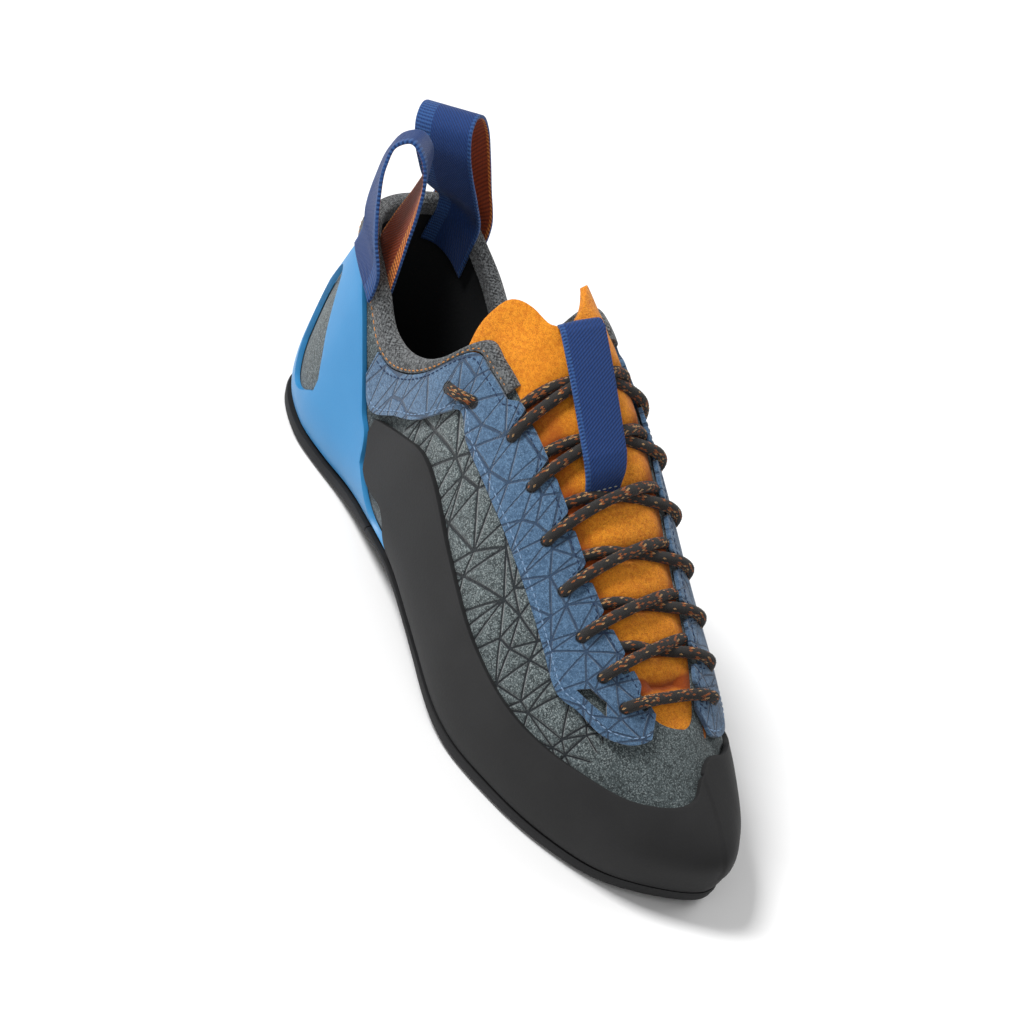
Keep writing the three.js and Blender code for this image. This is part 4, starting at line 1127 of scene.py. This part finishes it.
# each lace as stations: mm from the ridge line, mm off the last
def makeLaces():
    radius = shoe["lace"] / 2
    onUpper = radius + 2 * shoe["gap"]
    onTongue = radius + 2.4 * shoe["gap"] - shoe["wall"] - shoe["tongueGap"]

    # out of the hole and over the facing
    def fromHole(across):
        return [[across + 0.6, -1.6], [across + 0.2, 0.6], [across - 1.6, onUpper + 0.5]]

    for k, (x, across) in enumerate(lacing[:-1]):
        for side, name, above in ((-1, "lateral", 2.4), (1, "medial", -1.7)):
            near, far = throatEdge(x, side), throatEdge(x - shoe["laceBack"], -side)
            last = 1.6 - far
            stations = fromHole(across) + [
                [near + 1, onUpper + 0.5], [near - 3.5, onTongue + 1.6 + above * 0.4],
                [0, onTongue + above], [4 - far, onTongue + 0.3], [1.0 - far, onTongue - 0.1],
                [-1.5 - far, onTongue - 1.0],
            ]
            points = []
            for at, distance in stations:
                way = (across - at) / (across - last)
                points.append(overInstep(x - shoe["laceBack"] * way, side * at, distance))
            cordPiece(f"lace_{k + 1}_{name}", throughPoints(points, 200), [f"lace_cross_{k + 1}"])

    x, across = lacing[-1]
    points = []
    for side in (-1, 1):
        edge = throatEdge(x, side)
        half = fromHole(across) + [[edge + 1, onUpper + 0.4], [edge - 3.5, onTongue + 1.8]]
        part = [overInstep(x, side * at, distance) for at, distance in half]
        points += part if side < 0 else [overInstep(x, 0.0, onTongue + 1.2)] + part[::-1]
    cordPiece("lace_bar_cord", throughPoints(points, 200), ["lace_bar"])

    # short run between two holes at the collar
    (firstPlace, firstClimb), (lastPlace, lastClimb) = collarHoles
    rise = np.array([-1.5, 2.2, 3.4, 3.8, 3.4, 2.2, -1.5])
    places = np.linspace(firstPlace - 0.02, lastPlace + 0.02, len(rise))
    climbs = np.linspace(firstClimb - 0.4, lastClimb + 0.4, len(rise))
    cordPiece("lace_collar_run", throughPoints(off(places, climbs, rise), 120), [])


camera = {
    "azimuth": 42, "elevation": 38, "roll": 28, "distance": 1.22, "target": (0.0934, 0.0, 0.045),
    "lens": 138.5, "sensor": 36, "shift": (-0.03125, 0.0245),
}


def makeCamera():
    a, e, r = (math.radians(camera[k]) for k in ("azimuth", "elevation", "roll"))
    back = Vector((math.sin(a) * math.cos(e), -math.cos(a) * math.cos(e), math.sin(e)))
    right = Vector((math.cos(a), math.sin(a), 0))
    up = back.cross(right)
    turnedRight = right * math.cos(r) + up * math.sin(r)
    turnedUp = up * math.cos(r) - right * math.sin(r)
    data = bpy.data.cameras.new("camera")
    data.lens, data.sensor_width = camera["lens"], camera["sensor"]
    data.shift_x, data.shift_y = camera["shift"]
    piece = bpy.data.objects.new("camera", data)
    bpy.context.collection.objects.link(piece)
    where = Vector(camera["target"]) + back * camera["distance"]
    piece.matrix_world = Matrix((turnedRight, turnedUp, back)).transposed().to_4x4()
    piece.matrix_world.translation = where
    bpy.context.scene.camera = piece


studio = {
    "floorSize": 6, "floorDrop": 0.0002, "sky": 0.29,
    "lamps": {
        "key": {"at": (-0.5, -0.62, 1.15), "size": 0.38, "watts": 21},
        "fill": {"at": (0.8, -0.7, 0.9), "size": 1.2, "watts": 3},
        "rim": {"at": (0.1, 0.9, 0.9), "size": 0.8, "watts": 5},
    },
}


def makeStudio():
    bpy.ops.mesh.primitive_plane_add(size=studio["floorSize"], location=(0, 0, -studio["floorDrop"]))
    floor = bpy.context.object
    floor.name = "studio_floor"
    paint = Paint("paleFloor")
    paint.set(Base_Color=colours["floor"], Roughness=0.95, Specular_IOR_Level=0.1)
    floor.data.materials.append(paint.material)
    world = bpy.context.scene.world or bpy.data.worlds.new("studio")
    bpy.context.scene.world = world
    world.use_nodes = True
    background = world.node_tree.nodes["Background"]
    background.inputs["Color"].default_value = (1, 1, 1, 1)
    background.inputs["Strength"].default_value = studio["sky"]
    bpy.context.scene.view_settings.view_transform = "Standard"
    for name, lamp in studio["lamps"].items():
        data = bpy.data.lights.new(name, "AREA")
        data.size, data.energy = lamp["size"], lamp["watts"]
        piece = bpy.data.objects.new(name, data)
        bpy.context.collection.objects.link(piece)
        piece.location = lamp["at"]
        towards = Vector(camera["target"]) - piece.location
        piece.rotation_euler = towards.to_track_quat("-Z", "Y").to_euler()


makeCamera()
makeStudio()
print("camera and studio are ready")
makeUpper()
makeSoles()
print("upper and soles are ready")
makeHeelRand()
makeToeRand()
print("rands are ready")
makeTongue()
for side in (-1, 1):
    makeQuilt(side)
    makeFacing(side)
makeBinding()
print("facings, quilted panels and binding are ready")
makeTab()
makeLoops()
makeLaces()
print("webbing and laces are ready")
